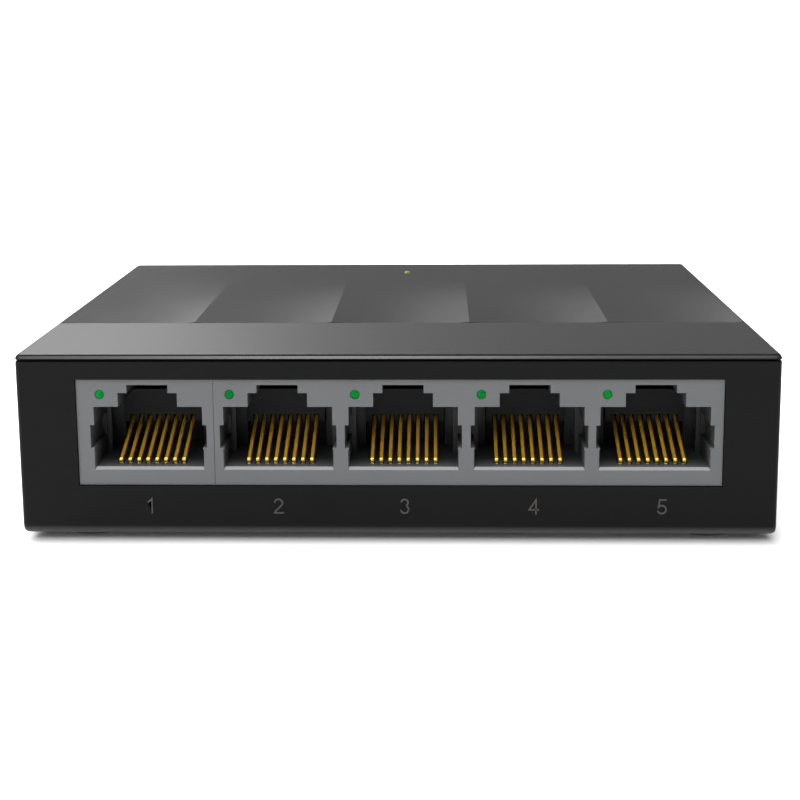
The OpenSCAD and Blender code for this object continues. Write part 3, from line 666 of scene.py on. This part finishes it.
def cover_top():
    """The cover's visible plate: a fine grid for the relief, with a rolled rim round it."""
    e = 0.62
    xs, ys = grid_lines()
    nx, ny = len(xs), len(ys)
    verts, faces = [], []
    for y in ys:
        for x in xs:
            verts.append((x, y, ZT - relief(x, y)))
    for j in range(ny - 1):
        for i in range(nx - 1):
            faces.append((j * nx + i, j * nx + i + 1, (j + 1) * nx + i + 1, (j + 1) * nx + i))
    # perimeter of the grid, counter-clockwise from the front left corner; (vertex, outward direction)
    arcs = 6
    ring = []

    def corner(v, a0):
        for k in range(arcs + 1):
            a = math.radians(a0 + 90 * k / arcs)
            ring.append((v, (math.cos(a), math.sin(a))))

    corner(0, 180)
    ring += [(i, (0, -1)) for i in range(1, nx - 1)]
    corner(nx - 1, 270)
    ring += [(j * nx + nx - 1, (1, 0)) for j in range(1, ny - 1)]
    corner((ny - 1) * nx + nx - 1, 0)
    ring += [((ny - 1) * nx + i, (0, 1)) for i in range(nx - 2, 0, -1)]
    corner((ny - 1) * nx, 90)
    ring += [(j * nx, (-1, 0)) for j in range(ny - 2, 0, -1)]
    rt, rb = 0.36, 0.05
    prof = [(0.55, 0.0), (0.445, 0.0)]
    prof += [(0.445 - rt * math.sin(math.radians(a)), rt - rt * math.cos(math.radians(a))) for a in (8, 16, 26, 36, 46, 55, 62)]
    prof += [(0.0, 0.43), (0.0, 0.49)]
    low = [(rb - rb * math.cos(math.radians(a)), rb - rb * math.sin(math.radians(a))) for a in (0, 30, 60, 90)]
    h = ZT - Z_RIM
    loops = []

    def rim_height(x, y):
        return h - relief(max(-XH + 0.4, min(XH - 0.4, x)), max(-YH + 0.4, min(YH - 0.4, y)))

    for inset, drop_ in prof + low:
        row = []
        for v, (ox, oy) in ring:
            x, y = verts[v][0] + ox * (e - inset), verts[v][1] + oy * (e - inset)
            hh = rim_height(x, y)
            s = min(1.0, hh / 0.54)
            z = Z_RIM + (drop_ * s if (inset, drop_) in low else hh - (drop_ or 0.0) * s)
            row.append((x, y, z))
        loops.append(row)
    start = []
    n = len(ring)
    base = len(verts)
    for row in loops:
        start.append(len(verts))
        verts += row
    for k in range(n):
        k2 = (k + 1) % n
        a, b = ring[k][0], ring[k2][0]
        p, q = start[0] + k, start[0] + k2
        faces.append((a, p, q) if a == b else (a, p, q, b))
    for s, t in zip(start, start[1:]):
        for k in range(n):
            k2 = (k + 1) % n
            faces.append((s + k, t + k, t + k2, s + k2))
    # underside
    under = len(verts)
    verts += [(x, y, Z_RIM) for y in ys for x in xs]
    for j in range(ny - 1):
        for i in range(nx - 1):
            faces.append((under + j * nx + i, under + (j + 1) * nx + i, under + (j + 1) * nx + i + 1, under + j * nx + i + 1))
    for k in range(n):
        k2 = (k + 1) % n
        a, b = under + ring[k][0], under + ring[k2][0]
        p, q = start[-1] + k, start[-1] + k2
        faces.append((a, q, p) if a == b else (a, b, q, p))
    return make("cover_plate", verts, faces, M["cover"], 24.0)


def cut_copy(node, keep_below=None, name="copy", mat=None):
    """A new closed mesh from a CAD node, cut off above a height."""
    src = NODES[node].data
    bm = bmesh.new()
    bm.from_mesh(src)
    bmesh.ops.remove_doubles(bm, verts=bm.verts, dist=0.002 * MM)
    if keep_below is not None:
        r = bmesh.ops.bisect_plane(bm, geom=bm.verts[:] + bm.edges[:] + bm.faces[:], plane_co=(0, 0, keep_below * MM), plane_no=(0, 0, 1), clear_outer=True)
        bmesh.ops.holes_fill(bm, edges=[g for g in bm.edges if g.is_boundary], sides=0)
    bmesh.ops.dissolve_limit(bm, angle_limit=math.radians(1), verts=bm.verts, edges=bm.edges)
    bmesh.ops.recalc_face_normals(bm, faces=bm.faces)
    me = bpy.data.meshes.new(name)
    bm.to_mesh(me)
    bm.free()
    if mat:
        me.materials.append(mat)
    o = bpy.data.objects.new(name, me)
    bpy.context.scene.collection.objects.link(o)
    shade(o, 32)
    return o


plate = cover_top()
hx, hy = POWER_XY
boolean(plate, [lathe([(0, ZT - 3), (0.5, ZT - 3), (0.5, ZT - 0.07), (0.62, ZT + 0.05), (0.62, ZT + 1), (0, ZT + 1)], (hx, hy, 0))], smooth=24)
for e_ in plate.data.edges:
    p_, q_ = (plate.data.vertices[k].co / MM for k in e_.vertices)
    if min(p_.y, q_.y) > YG + 0.1 and max(p_.y, q_.y) < YG + 0.8 * RUN and p_.z > Z_RIM + 0.02:
        if any(abs(p_.x - r_) < 0.01 and abs(q_.x - r_) < 0.01 for r_ in (-24.9, -8.3, 8.3, 24.9)):
            e_.use_edge_sharp = True
place(plate, "case", "case_plastic", "top_cover", weighted=False)
inner = cut_copy("top_cover", Z_RIM + 0.02, "cover_underside", M["case"])
bevel(inner, 0.08, 2)
place(inner, "case", "case_plastic", "top_cover")


# ------------------------------------------------------------------ bottom shell
DIGIT_X = [-26.98, -12.99, 0.90, 14.94, 28.9]


def strokes(n):
    """Port numbers as thin round-ended strokes in a cell 1.05 wide and 1.65 high."""
    if n == 1:
        return [[(0.52, 0.0), (0.52, 1.62), (0.40, 1.46), (0.22, 1.33), (0.10, 1.27)]]
    if n == 2:
        top = arc(0.5, 1.17, 0.43, 170, -38, 12)
        return [top + [(0.45, 0.50), (0.16, 0.24), (0.05, 0.04), (0.98, 0.04)]]
    if n == 3:
        return [arc(0.46, 1.24, 0.37, 165, -80, 12) + [(0.40, 0.87)], [(0.40, 0.87)] + arc(0.46, 0.45, 0.42, 88, -165, 14)]
    if n == 4:
        return [[(0.78, 0.0), (0.78, 1.60), (0.04, 0.45), (1.04, 0.45)]]
    return [[(0.92, 1.60), (0.26, 1.60), (0.14, 0.80)] + arc(0.5, 0.50, 0.46, 142, -155, 16)]


def digits():
    out = []
    for n in range(1, 6):
        for path in strokes(n):
            pts = ribbon([(DIGIT_X[n - 1] - 0.5 + x, Z0 + 2.63 + y) for x, y in path], 0.17)
            out.append(prism(pts, YF - 0.1, YF + 0.2, "Y", "digit"))
    return out


def shell():
    rx, ry = 0.55, 1.25
    outer = []
    for k in range(13):
        up = ry * (1 - math.cos(math.radians(90 * k / 12)))
        ix = rx - math.sqrt(max(0.0, rx * rx - max(0.0, rx - up) ** 2))
        iy = ry - math.sqrt(max(0.0, ry * ry - (ry - up) ** 2))
        outer.append((rounded(2 * (XH - ix), 2 * (YH - iy), max(CORNER - 0.6 * ix, 0.22), 6), Z0 + up))
    outer.append((rounded(2 * XH, 2 * YH, CORNER, 6), Z_WALL - 0.12))
    outer.append((rounded(2 * (XH - 0.04), 2 * (YH - 0.04), CORNER - 0.04, 6), Z_WALL - 0.035))
    outer.append((rounded(2 * (XH - 0.12), 2 * (YH - 0.12), CORNER - 0.12, 6), Z_WALL))
    outer.append((rounded(2 * (XH - 0.6), 2 * (YH - 0.6), 0.4, 6), Z_WALL))
    outer.append((rounded(2 * (XH - 0.6), 2 * (YH - 0.6), 0.4, 6), Z_RIM))
    body = loft(outer, "case_shell", M["case"])
    cuts = [loft([(rounded(2 * XI, 2 * YI, 0.5, 6), FLOOR), (rounded(2 * XI, 2 * YI, 0.5, 6), ZT + 5)], "cavity")]
    boolean(body, cuts)
    adds = []
    for sx in (-1, 1):
        adds.append(drum(3.0, Z0 + 0.5, Z0 + 6.6, (sx * BOSS[0], BOSS[1], 0)))
        x = sx * 37.6
        adds.append(block((x - 1.4, YF + 1, Z0 + 0.5), (x + 1.4, YF + 8, BOARD[0][2])))
    for x, y in ((-23, -11.5), (23.5, -11.5), (-16, 23), (16, 23)):
        adds.append(lathe([(0, Z0 + 0.5), (2.2, Z0 + 0.5), (2.2, BOARD[0][2]), (1.05, BOARD[0][2]), (1.05, ZB1 + 0.7), (0.85, ZB1 + 0.9), (0, ZB1 + 0.9)], (x, y, 0)))
    for _, sx, sy in FEET:
        adds.append(drum(5.4, Z0 + 0.5, FLOOR + 0.3, (sx * (XH - 7), sy * (YH - 6.5), 0)))
    boolean(body, adds, "UNION")
    cuts = [block((J1[0][0] - 0.05, YF - 2, JZ - 0.05), (J2[1][0] + 0.05, YF + WALL + 2, JZ1 + 0.05))]
    dcy, dcz = YF + 31, ZB1 + 3.2
    cuts.append(drum(2.95, -XH - 3, -XI + 1, (0, dcy, dcz), "X"))
    for sx in (-1, 1):
        cuts.append(block((sx * 20 - 2.8, YI - 0.5, Z_IN - 2.5), (sx * 20 + 2.8, YI + 0.9, Z_IN - 1.1)))
        cuts.append(block((sx * (XI - 0.5), -10.8, Z_IN - 2.5), (sx * (XI + 0.9), -5.2, Z_IN - 1.1)))
        cuts.append(lathe([(0, Z0 - 1), (2.7, Z0 - 1), (2.7, Z0 + 2.6), (1.5, Z0 + 2.6), (1.5, Z0 + 11), (0, Z0 + 11)], (sx * BOSS[0], BOSS[1], 0)))
        cuts.append(drum(3.2, Z0 - 1, Z0 + 4, (sx * 22, 0, 0)))
        slot_outline = [(sx * 22 - 1.7, -1.0), (sx * 22 + 1.7, -1.0)] + arc(sx * 22, 5.6, 1.7, 0, 180, 16)
        cuts.append(prism(slot_outline, Z0 - 1.1, Z0 + 4.1, "Z"))
    for _, sx, sy in FEET:
        cuts.append(drum(4.6, Z0 - 1, Z0 + 0.8, (sx * (XH - 7), sy * (YH - 6.5), 0)))
    for i in range(-4, 5):
        for y0, y1 in ((9, 19), (-22, -12)):
            x = i * 3.6
            out = arc(x, y1 - 0.75, 0.75, 0, 180, 8) + arc(x, y0 + 0.75, 0.75, 180, 360, 8)
            cuts.append(prism(out, Z0 - 1.2, Z0 + 4.2, "Z"))
    cuts.append(loft([(rounded(34.4, 15.4, 1.2, 5, 0, -1.0), Z0 - 1.3), (rounded(34.4, 15.4, 1.2, 5, 0, -1.0), Z0 + 0.15)], "label_recess"))
    boolean(body, cuts)
    bevel(body, 0.07, 2, 42)
    return body


body = shell()
place(body, "case", "case_plastic", "bottom_shell")
place(join(digits(), "port_numbers"), "case", "case_plastic", weighted=False).data.materials.append(M["digit"])


# ------------------------------------------------------------------ jacks
def tail_x(c, i):
    return c + (i - 3.5) * PITCH


def housing(node, a, b, ports, name):
    o = block((a[0], JY, JZ), (b[0], JY + JD, JZ1), name, M["jack"])
    cuts = []
    for c in ports:
        w, s, t = 11.9 / 2, 3.25, 2.24
        mouth = [(c - w, ZF), (c + w, ZF), (c + w, Z_MAIN), (c + s, Z_MAIN), (c + s, Z_STEP), (c + t, Z_STEP), (c + t, Z_STEP + 0.3), (c - t, Z_STEP + 0.3), (c - t, Z_STEP), (c - s, Z_STEP), (c - s, Z_MAIN), (c - w, Z_MAIN)]
        cuts.append(prism(mouth, JY - 1, JY + CAVITY, "Y"))
        cuts.append(block((c - t, JY - 1.1, Z_STEP - 0.5), (c + t, JY + 9.5, Z_TAB)))
        for m in (-1, 1):
            cuts.append(block((c + m * 5, JY - 1.2, Z0 + 9.95), (c + m * 6.385, JY + 5.2, Z0 + 12.52)))
        cuts.append(block((c - 4.4, JY + 2.6, JZ - 1), (c + 4.4, JY + JD + 1, ZF - 0.6)))
        cuts.append(block((c - 4.4, JY + 1.2, JZ - 1.1), (c + 4.4, JY + 2.9, ZF - 0.6)))
        for i in range(8):
            x = tail_x(c, i)
            cuts.append(block((x - 0.28, JY + 1.2, ZF - 1.1), (x + 0.28, JY + 3, ZF + 0.3)))
        cuts.append(drum(0.53, JY - 1, JY + JD + 1, (c - 5.23, 0, Z0 + 15.97), "Y", 32))
    for cut in cuts:
        shade(cut, 30)
    boolean(o, cuts)
    # the mouth's lower edge is chamfered at the front
    for c in ports:
        flare = []
        for y, dx, dz in ((JY - 0.3, 0.2, 0.57), (JY + 0.32, -0.013, -0.024)):
            flare += [(c - w - dx, y, ZF - dz), (c + w + dx, y, ZF - dz), (c + w + dx, y, Z0 + 9.8), (c - w - dx, y, Z0 + 9.8)]
        boolean(o, [make("flare", flare, [(0, 1, 2, 3), (7, 6, 5, 4), (0, 4, 5, 1), (1, 5, 6, 2), (2, 6, 7, 3), (3, 7, 4, 0)], None, 25)])
    adds = []
    for c in ports:
        for m in (-1, 1):
            adds.append(block((c + m * 5.47, JY + 5.6, ZF - 0.1), (c + m * 6.2, JY + 6.3, Z_MAIN + 0.1)))
            adds.append(block((c + m * 4.55, JY + CARRIER + 0.9, ZF - 0.1), (c + m * 6.2, JY + CAVITY + 0.1, Z_MAIN + 0.1)))
    boolean(o, adds, "UNION")
    bevel(o, 0.09, 2, 42)
    pegs = {"rj45_housing_single": [(PORT_X[0] - 5.6, JY + 6), (PORT_X[0] + 5.2, JY + 6)],
            "rj45_housing_quad": [(PORT_X[1] - 4.9, JY + 6), ((PORT_X[2] + PORT_X[3]) / 2, JY + 6), (PORT_X[4] + 5.4, JY + 6)]}[node]
    for x, y in pegs:
        boolean(o, [lathe([(0, BOARD[0][2] - 1), (1.1, BOARD[0][2] - 1), (1.4, BOARD[0][2] - 0.6), (1.4, JZ + 0.3), (0, JZ + 0.3)], (x, y, 0), n=32)], "UNION")
    return place(o, "case", "jack_plastic", node)


seam = max(0.0, (J2[0][0] - J1[1][0]) / 2 - 0.02)
housing("rj45_housing_single", J1[0], (J1[1][0] + seam, 0), PORT_X[:1], "jack_single")
housing("rj45_housing_quad", (J2[0][0] - seam, 0), J2[1], PORT_X[1:], "jack_quad")


def carrier(c, k):
    zl = NOTCH - 0.42
    o = prism([(JY + CARRIER, zl), (JY + 9.6, zl), (JY + 9.6, ZF), (JY + CAVITY, ZF), (JY + CAVITY, Z_MAIN), (JY + CARRIER, Z_MAIN)], c - 4.5, c + 4.5, "X", f"port_{k}_comb", M["carrier"])
    cuts = [block((tail_x(c, i) - 0.3, JY + CARRIER - 1, NOTCH - 2), (tail_x(c, i) + 0.3, JY + 9.2, NOTCH + 0.42)) for i in range(8)]
    boolean(o, cuts)
    bevel(o, 0.05, 2, 42)
    return place(o, "case", "carrier_plastic", f"port_{k}_contact_carrier")


def wire(c, k):
    """Eight bent wires with softened corners: hook under the floor, round bend, long beam."""
    w, t = 0.38 / 2, 0.13
    section = []
    q = 0.06
    for cx, cz, a0 in ((w - q, t - q, 0), (-w + q, t - q, 90), (-w + q, -t + q, 180), (w - q, -t + q, 270)):
        section += arc(cx, cz, q, a0, a0 + 90, 3)
    path = []
    # centre line in the YZ plane: (y, z, heading)
    rr = 0.17
    for a in range(250, 115, -12):
        path.append((PIV[0] + rr * math.cos(math.radians(a)), PIV[1] + rr * math.sin(math.radians(a)), math.radians(a - 90)))
    head = SLOPE
    length = (8.5 - 1.75) / math.cos(SLOPE)
    y0, z0 = PIV[0], PIV[1]
    for s in (0.02, 0.15, 0.35, 0.6, 0.85, 0.95):
        path.append((y0 + s * length * math.cos(head), z0 + s * length * math.sin(head), head))
    path.append((y0 + length * math.cos(head), z0 + length * math.sin(head), head))
    verts, faces = [], []
    n = len(section)
    for i in range(8):
        x = tail_x(c, i)
        b = len(verts)
        for j, (y, z, a) in enumerate(path):
            ny, nz = -math.sin(a), math.cos(a)
            for u, v in section:
                k_ = 0.55 if j in (0, len(path) - 1) else 1.0
                verts.append((x + u * k_, y + v * k_ * ny, z + v * k_ * nz))
        for j in range(len(path) - 1):
            for m in range(n):
                m2 = (m + 1) % n
                faces.append((b + j * n + m, b + j * n + m2, b + (j + 1) * n + m2, b + (j + 1) * n + m))
        faces.append(tuple(b + m for m in range(n - 1, -1, -1)))
        faces.append(tuple(b + (len(path) - 1) * n + m for m in range(n)))
    o = make(f"port_{k}_wires", verts, faces, M["gold"], 40)
    return place(o, f"port_{k}_contacts", "contact_gold", f"port_{k}_contacts")


for k, c in enumerate(PORT_X, 1):
    carrier(c, k)
    wire(c, k)


# ------------------------------------------------------------------ lights
def light_pipes():
    parts = []
    for c in PORT_X:
        x, z = c - 5.23, Z0 + 15.97
        y1 = JY + JD + 1.1
        tip = [(0, JY - 0.16)] + [(0.5 * math.sin(math.radians(a)), JY + 0.08 - 0.24 * math.cos(math.radians(a))) for a in (20, 40, 60, 80)] + [(0.5, JY + 0.12)]
        rod = lathe(tip + [(0.5, y1 + 0.4), (0, y1 + 0.4)], (x, 0, z), "Y", 32, "pipe")
        leg = loft([(rounded(1.2, 1.2, 0.12, 3, x, y1), ZB1 + 0.95), (rounded(1.2, 1.2, 0.12, 3, x, y1), z + 0.55), (rounded(1.05, 1.05, 0.08, 3, x, y1), z + 0.62)], "leg")
        boolean(rod, [leg], "UNION")
        parts.append(rod)
    o = join(parts, "jack_light_pipes")
    o.data.materials.clear()
    o.data.materials.append(M["green"])
    shade(o, 40)
    return place(o, "case", "green_light_pipe", "port_light_pipes")


light_pipes()
pp = lathe([(0, ZB1 + 0.95), (1.1, ZB1 + 0.95), (1.2, ZB1 + 1.05), (1.2, Z_IN + 0.15), (1.1, Z_IN + 0.25), (0.46, Z_IN + 0.25), (0.46, ZT - 0.06),
            (0.44, ZT + 0.03), (0.36, ZT + 0.11), (0.22, ZT + 0.165), (0, ZT + 0.185)], (hx, hy, 0), n=40, name="power_pipe", mat=M["amber"])
place(pp, "case", "amber_light_pipe", "power_light_pipe")


# ------------------------------------------------------------------ feet, screws, label
for name, sx, sy in FEET:
    r = 4.5
    prof = [(0, 0.0), (r - 0.55, 0.0)] + [(r - 0.55 + 0.55 * math.sin(math.radians(a)), 0.55 - 0.55 * math.cos(math.radians(a))) for a in (18, 36, 54, 72, 90)]
    prof += [(r, Z0 + 0.75), (r - 0.05, Z0 + 0.8), (0, Z0 + 0.8)]
    foot = lathe(prof, (sx * (XH - 7), sy * (YH - 6.5), 0), n=64, name=name.replace("foot_", "foot_pad_"), mat=M["rubber"])
    place(foot, "case", "foot_rubber", name)

for sx, side in ((-1, "left"), (1, "right")):
    prof = [(0, Z0 + 0.9), (1.6, Z0 + 0.9), (2.05, Z0 + 1.02), (2.3, Z0 + 1.3), (2.4, Z0 + 1.7), (2.4, Z0 + 2.52), (2.34, Z0 + 2.6), (1.15, Z0 + 2.6)]
    z = Z0 + 2.7
    while z < Z0 + 11.2:
        prof += [(1.0, z), (1.28, z + 0.24), (1.28, z + 0.3), (1.0, z + 0.54)]
        z += 0.8
    prof += [(0.8, Z0 + 11.6), (0.4, Z0 + 12.4), (0, Z0 + 12.4)]
    screw = lathe(prof, (sx * BOSS[0], BOSS[1], 0), n=40, name=f"case_screw_{side}", mat=M["steel"])
    cross = []
    for a in (0, 90):
        c, s = math.cos(math.radians(a)), math.sin(math.radians(a))
        hw = 0.28 + 0.002 * a / 90
        low = [(sx * BOSS[0] + p * c - q * s, BOSS[1] + p * s + q * c) for p, q in ((-1.3, -hw), (1.3, -hw), (1.3, hw), (-1.3, hw))]
        top = [(sx * BOSS[0] + p * c - q * s, BOSS[1] + p * s + q * c) for p, q in ((-0.6, -0.18), (0.6, -0.18), (0.6, 0.18), (-0.6, 0.18))]
        cross.append(loft([(low, Z0), (low, Z0 + 1.0), (top, Z0 + 1.9)], "cross"))
    boolean(screw, cross)
    place(screw, "case", "screw_steel", "case_screws")

label = loft([(rounded(34, 15, 1.0, 6, 0, -1.0), Z0 + 0.03), (rounded(34, 15, 1.0, 6, 0, -1.0), Z0 + 0.15)], "underside_film", M["label"])
place(label, "case", "label_film", "underside_label")


# ------------------------------------------------------------------ power inlet
def inlet():
    dcy, dcz = YF + 31, ZB1 + 3.2
    x0, x1, nose = -XH + WALL + 0.12, -XH + WALL + 0.12 + 9.8, -XH + 0.3
    lpx, lpz = x1 - 2.1, dcz - 1.95 - 0.55
    o = block((x0, dcy - 3.5, ZB1), (x1, dcy + 3.5, ZB1 + 6.4), "inlet_body", M["inlet"])
    boolean(o, [lathe([(0, nose), (2.6, nose), (2.72, nose + 0.04), (2.8, nose + 0.14), (2.8, x0 + 1), (0, x0 + 1)], (0, dcy, dcz), "X", 64)], "UNION")
    cuts = [lathe([(0, nose - 1), (2.3, nose - 1), (2.3, nose), (2.05, nose + 0.16), (1.95, nose + 0.3), (1.95, x1 - 1.6), (0, x1 - 1.6)], (0, dcy, dcz), "X", 64),
            block((x0 + 0.8, dcy - 0.95, lpz - 0.62), (x1 - 1.2, dcy + 0.95, dcz - 1.95 + 0.6)),
            drum(0.95, x1 - 3, x1 + 2, (0, dcy, dcz), "X", 32),
            block((-36.6 - 0.3, dcy - 0.5, ZB1 - 1), (-36.6 + 0.3, dcy + 0.5, lpz - 0.5)),
            block((-34.4 - 0.25, dcy + 1.9, ZB1 - 1.01), (-34.4 + 0.25, dcy + 2.9, ZB1 + 3))]
    boolean(o, cuts)
    bevel(o, 0.08, 2, 42)
    place(o, "case", "inlet_plastic", "dc_jack_housing")
    p = lathe([(0, nose + 0.7), (0.3, nose + 0.7), (0.5, nose + 0.78), (0.62, nose + 0.95), (0.65, nose + 1.15), (0.65, x1 - 1.6), (0.95, x1 - 1.6), (0.95, x1), (0, x1)],
              (0, dcy, dcz), "X", 40, "inlet_pin", M["tin"])
    place(p, "case", "tin_plate", "dc_jack_pin")


inlet()


# ------------------------------------------------------------------ CAD nodes that stay: finish and softened edges
def finish_node(node, mat, width=0.0, segments=2, smooth=35.0):
    o = NODES[node]
    o.data.materials.clear()
    o.data.materials.append(M[mat])
    o.data.polygons.foreach_set("material_index", [0] * len(o.data.polygons))
    if width:
        w = o.modifiers.new("weld", "WELD")
        w.merge_threshold = 0.002 * MM
        d = o.modifiers.new("flat", "DECIMATE")
        d.decimate_type, d.angle_limit = "DISSOLVE", math.radians(1)
        b = o.modifiers.new("soften", "BEVEL")
        b.width, b.segments, b.limit_method, b.angle_limit = width * MM, segments, "ANGLE", math.radians(40)


finish_node("circuit_board", "board", 0.05)
for k in range(1, 6):
    finish_node(f"port_{k}_contact_tails", "tin", 0.03)
finish_node("port_leds", "ledbody", 0.08)
finish_node("power_led", "ledbody", 0.08)
finish_node("switch_chip", "epoxy", 0.12)
finish_node("switch_chip_leads", "tin", 0.02, 1)
for n in ("magnetics_port_1", "magnetics_ports_2_3", "magnetics_ports_4_5"):
    finish_node(n, "epoxy", 0.08)
finish_node("crystal", "can", 0.12)
finish_node("input_capacitor", "sleeve", 0.08)
finish_node("output_capacitor", "sleeve", 0.08)
finish_node("power_inductor", "ferrite", 0.1)
finish_node("voltage_regulator", "epoxy", 0.06)
finish_node("ceramic_capacitors", "ceramic", 0.06)
finish_node("chip_resistors", "epoxy", 0.04)
finish_node("dc_jack_spring", "gold", 0.03)
finish_node("dc_jack_terminals", "tin", 0.04)


# ------------------------------------------------------------------ stage, light and camera
def stage_material():
    m = N("floor_white")
    n = m.noise(0.01, 2.0)
    # the sheet darkens close to the case's foot, as the contact shadow does in the photo
    ax = m.node("ShaderNodeSeparateXYZ")
    m.link(m.co, ax.inputs[0])
    away = m.math("MAXIMUM", m.math("SUBTRACT", m.math("ABSOLUTE", ax.outputs["X"]), (XH - 0.9) * MM),
                  m.math("SUBTRACT", m.math("ABSOLUTE", ax.outputs["Y"]), (YH - 0.9) * MM))
    clear = m.span(away, 0.6 * MM, 2.8 * MM)
    m.set(Base_Color=m.mix(clear, (0.54, 0.54, 0.54), m.mix(n, (0.90, 0.90, 0.90), (0.92, 0.92, 0.92))), Roughness=0.75,
          Specular_IOR_Level=0.2, Emission_Color=(1, 1, 1), Emission_Strength=m.span(away, 0.6 * MM, 2.8 * MM, 0.02, 0.04))
    return m.mat


def sheet_of(name, corners, mat):
    me = bpy.data.meshes.new(name)
    me.from_pydata([tuple(v) for v in corners], [], [tuple(range(len(corners)))])
    o = bpy.data.objects.new(name, me)
    bpy.context.scene.collection.objects.link(o)
    me.materials.append(mat)
    return o


def backdrop_material():
    m = N("backdrop_white")
    m.set(Base_Color=(0.9, 0.9, 0.9), Roughness=0.9, Emission_Color=(1, 1, 1), Emission_Strength=1.0)
    return m.mat


sheet_of("studio_floor", [(-6, -6, 0), (6, -6, 0), (6, 9, 0), (-6, 9, 0)], stage_material())
white = backdrop_material()
for name, (x0, y0), (x1, y1) in (("studio_backdrop", (-8, 8.9), (8, 8.9)), ("studio_left", (-5.9, -6), (-5.9, 9)),
                                 ("studio_right", (5.9, -6), (5.9, 9)), ("studio_front", (-6, -5.9), (6, -5.9))):
    # the sides and the front only close the white room round the other views
    drop_cloth = sheet_of(name, [(x0, y0, -0.1), (x1, y1, -0.1), (x1, y1, 6), (x0, y0, 6)], white)
    drop_cloth.visible_glossy = False
    drop_cloth.visible_diffuse = False
    drop_cloth.visible_shadow = name == "studio_backdrop"

scene = bpy.context.scene
world = bpy.data.worlds.new("studio")
scene.world = world
world.use_nodes = True
bg = world.node_tree.nodes["Background"]
bg.inputs["Color"].default_value = (1, 1, 1, 1)
bg.inputs["Strength"].default_value = 0.23


def softbox(name, at, to, w, h, power, spread=180):
    L = bpy.data.lights.new(name, "AREA")
    L.shape, L.size, L.size_y, L.energy = "RECTANGLE", w, h, power
    L.spread = math.radians(spread)
    o = bpy.data.objects.new(name, L)
    scene.collection.objects.link(o)
    o.location = at
    o.rotation_mode = "QUATERNION"
    o.rotation_quaternion = (Vector(to) - Vector(at)).to_track_quat("-Z", "Y")
    o.visible_camera = False
    return o


def around(az, el, d=1.2):
    """A place d metres away, azimuth from straight behind towards +X, elevation above the floor."""
    a, e = math.radians(az), math.radians(el)
    return d * math.sin(a) * math.cos(e), d * math.cos(a) * math.cos(e), d * math.sin(e)


softbox("key_left_rear", around(-41, 40), (0, 0, 0.02), 1.2, 0.7, 26)
softbox("low_rear", around(8, 24), (0, 0, 0.02), 0.9, 0.2, 0.65)
softbox("fill_right", around(48, 31), (0, 0, 0.02), 0.7, 0.5, 1.8)
softbox("above_front", (-0.1, -0.85, 0.85), (0, 0, 0.02), 0.32, 0.3, 4.0)
softbox("left_front", (-0.42, -0.55, 0.20), (0, 0, 0.012), 0.3, 0.25, 1.1)
sun = bpy.data.lights.new("overhead", "SUN")
sun.energy, sun.angle = 4.0, math.radians(70)
sun_o = bpy.data.objects.new("overhead", sun)
scene.collection.objects.link(sun_o)
sun_o.rotation_euler = (math.radians(20), math.radians(-6), 0)

cam = bpy.data.cameras.new("view")
cam.lens, cam.sensor_width, cam.sensor_fit = 58.136, 36.0, "AUTO"
cam.shift_x, cam.shift_y = -0.01, -0.20
cam.clip_start, cam.clip_end = 0.005, 20.0
cam.dof.use_dof = False
camera = bpy.data.objects.new("photo_camera", cam)
scene.collection.objects.link(camera)
camera.location = (4.88 * MM, -164.55 * MM, 54.31 * MM)
camera.rotation_mode = "QUATERNION"
q = (Matrix.Rotation(math.radians(1.462), 4, "Z") @ Matrix.Rotation(math.radians(90 - 8.626), 4, "X") @ Matrix.Rotation(math.radians(-0.391), 4, "Z")).to_quaternion()
camera.rotation_quaternion = q
scene.camera = camera

scene.view_settings.view_transform = "Standard"
scene.view_settings.look = "None"
scene.view_settings.exposure = 0.0
scene.view_settings.gamma = 1.0
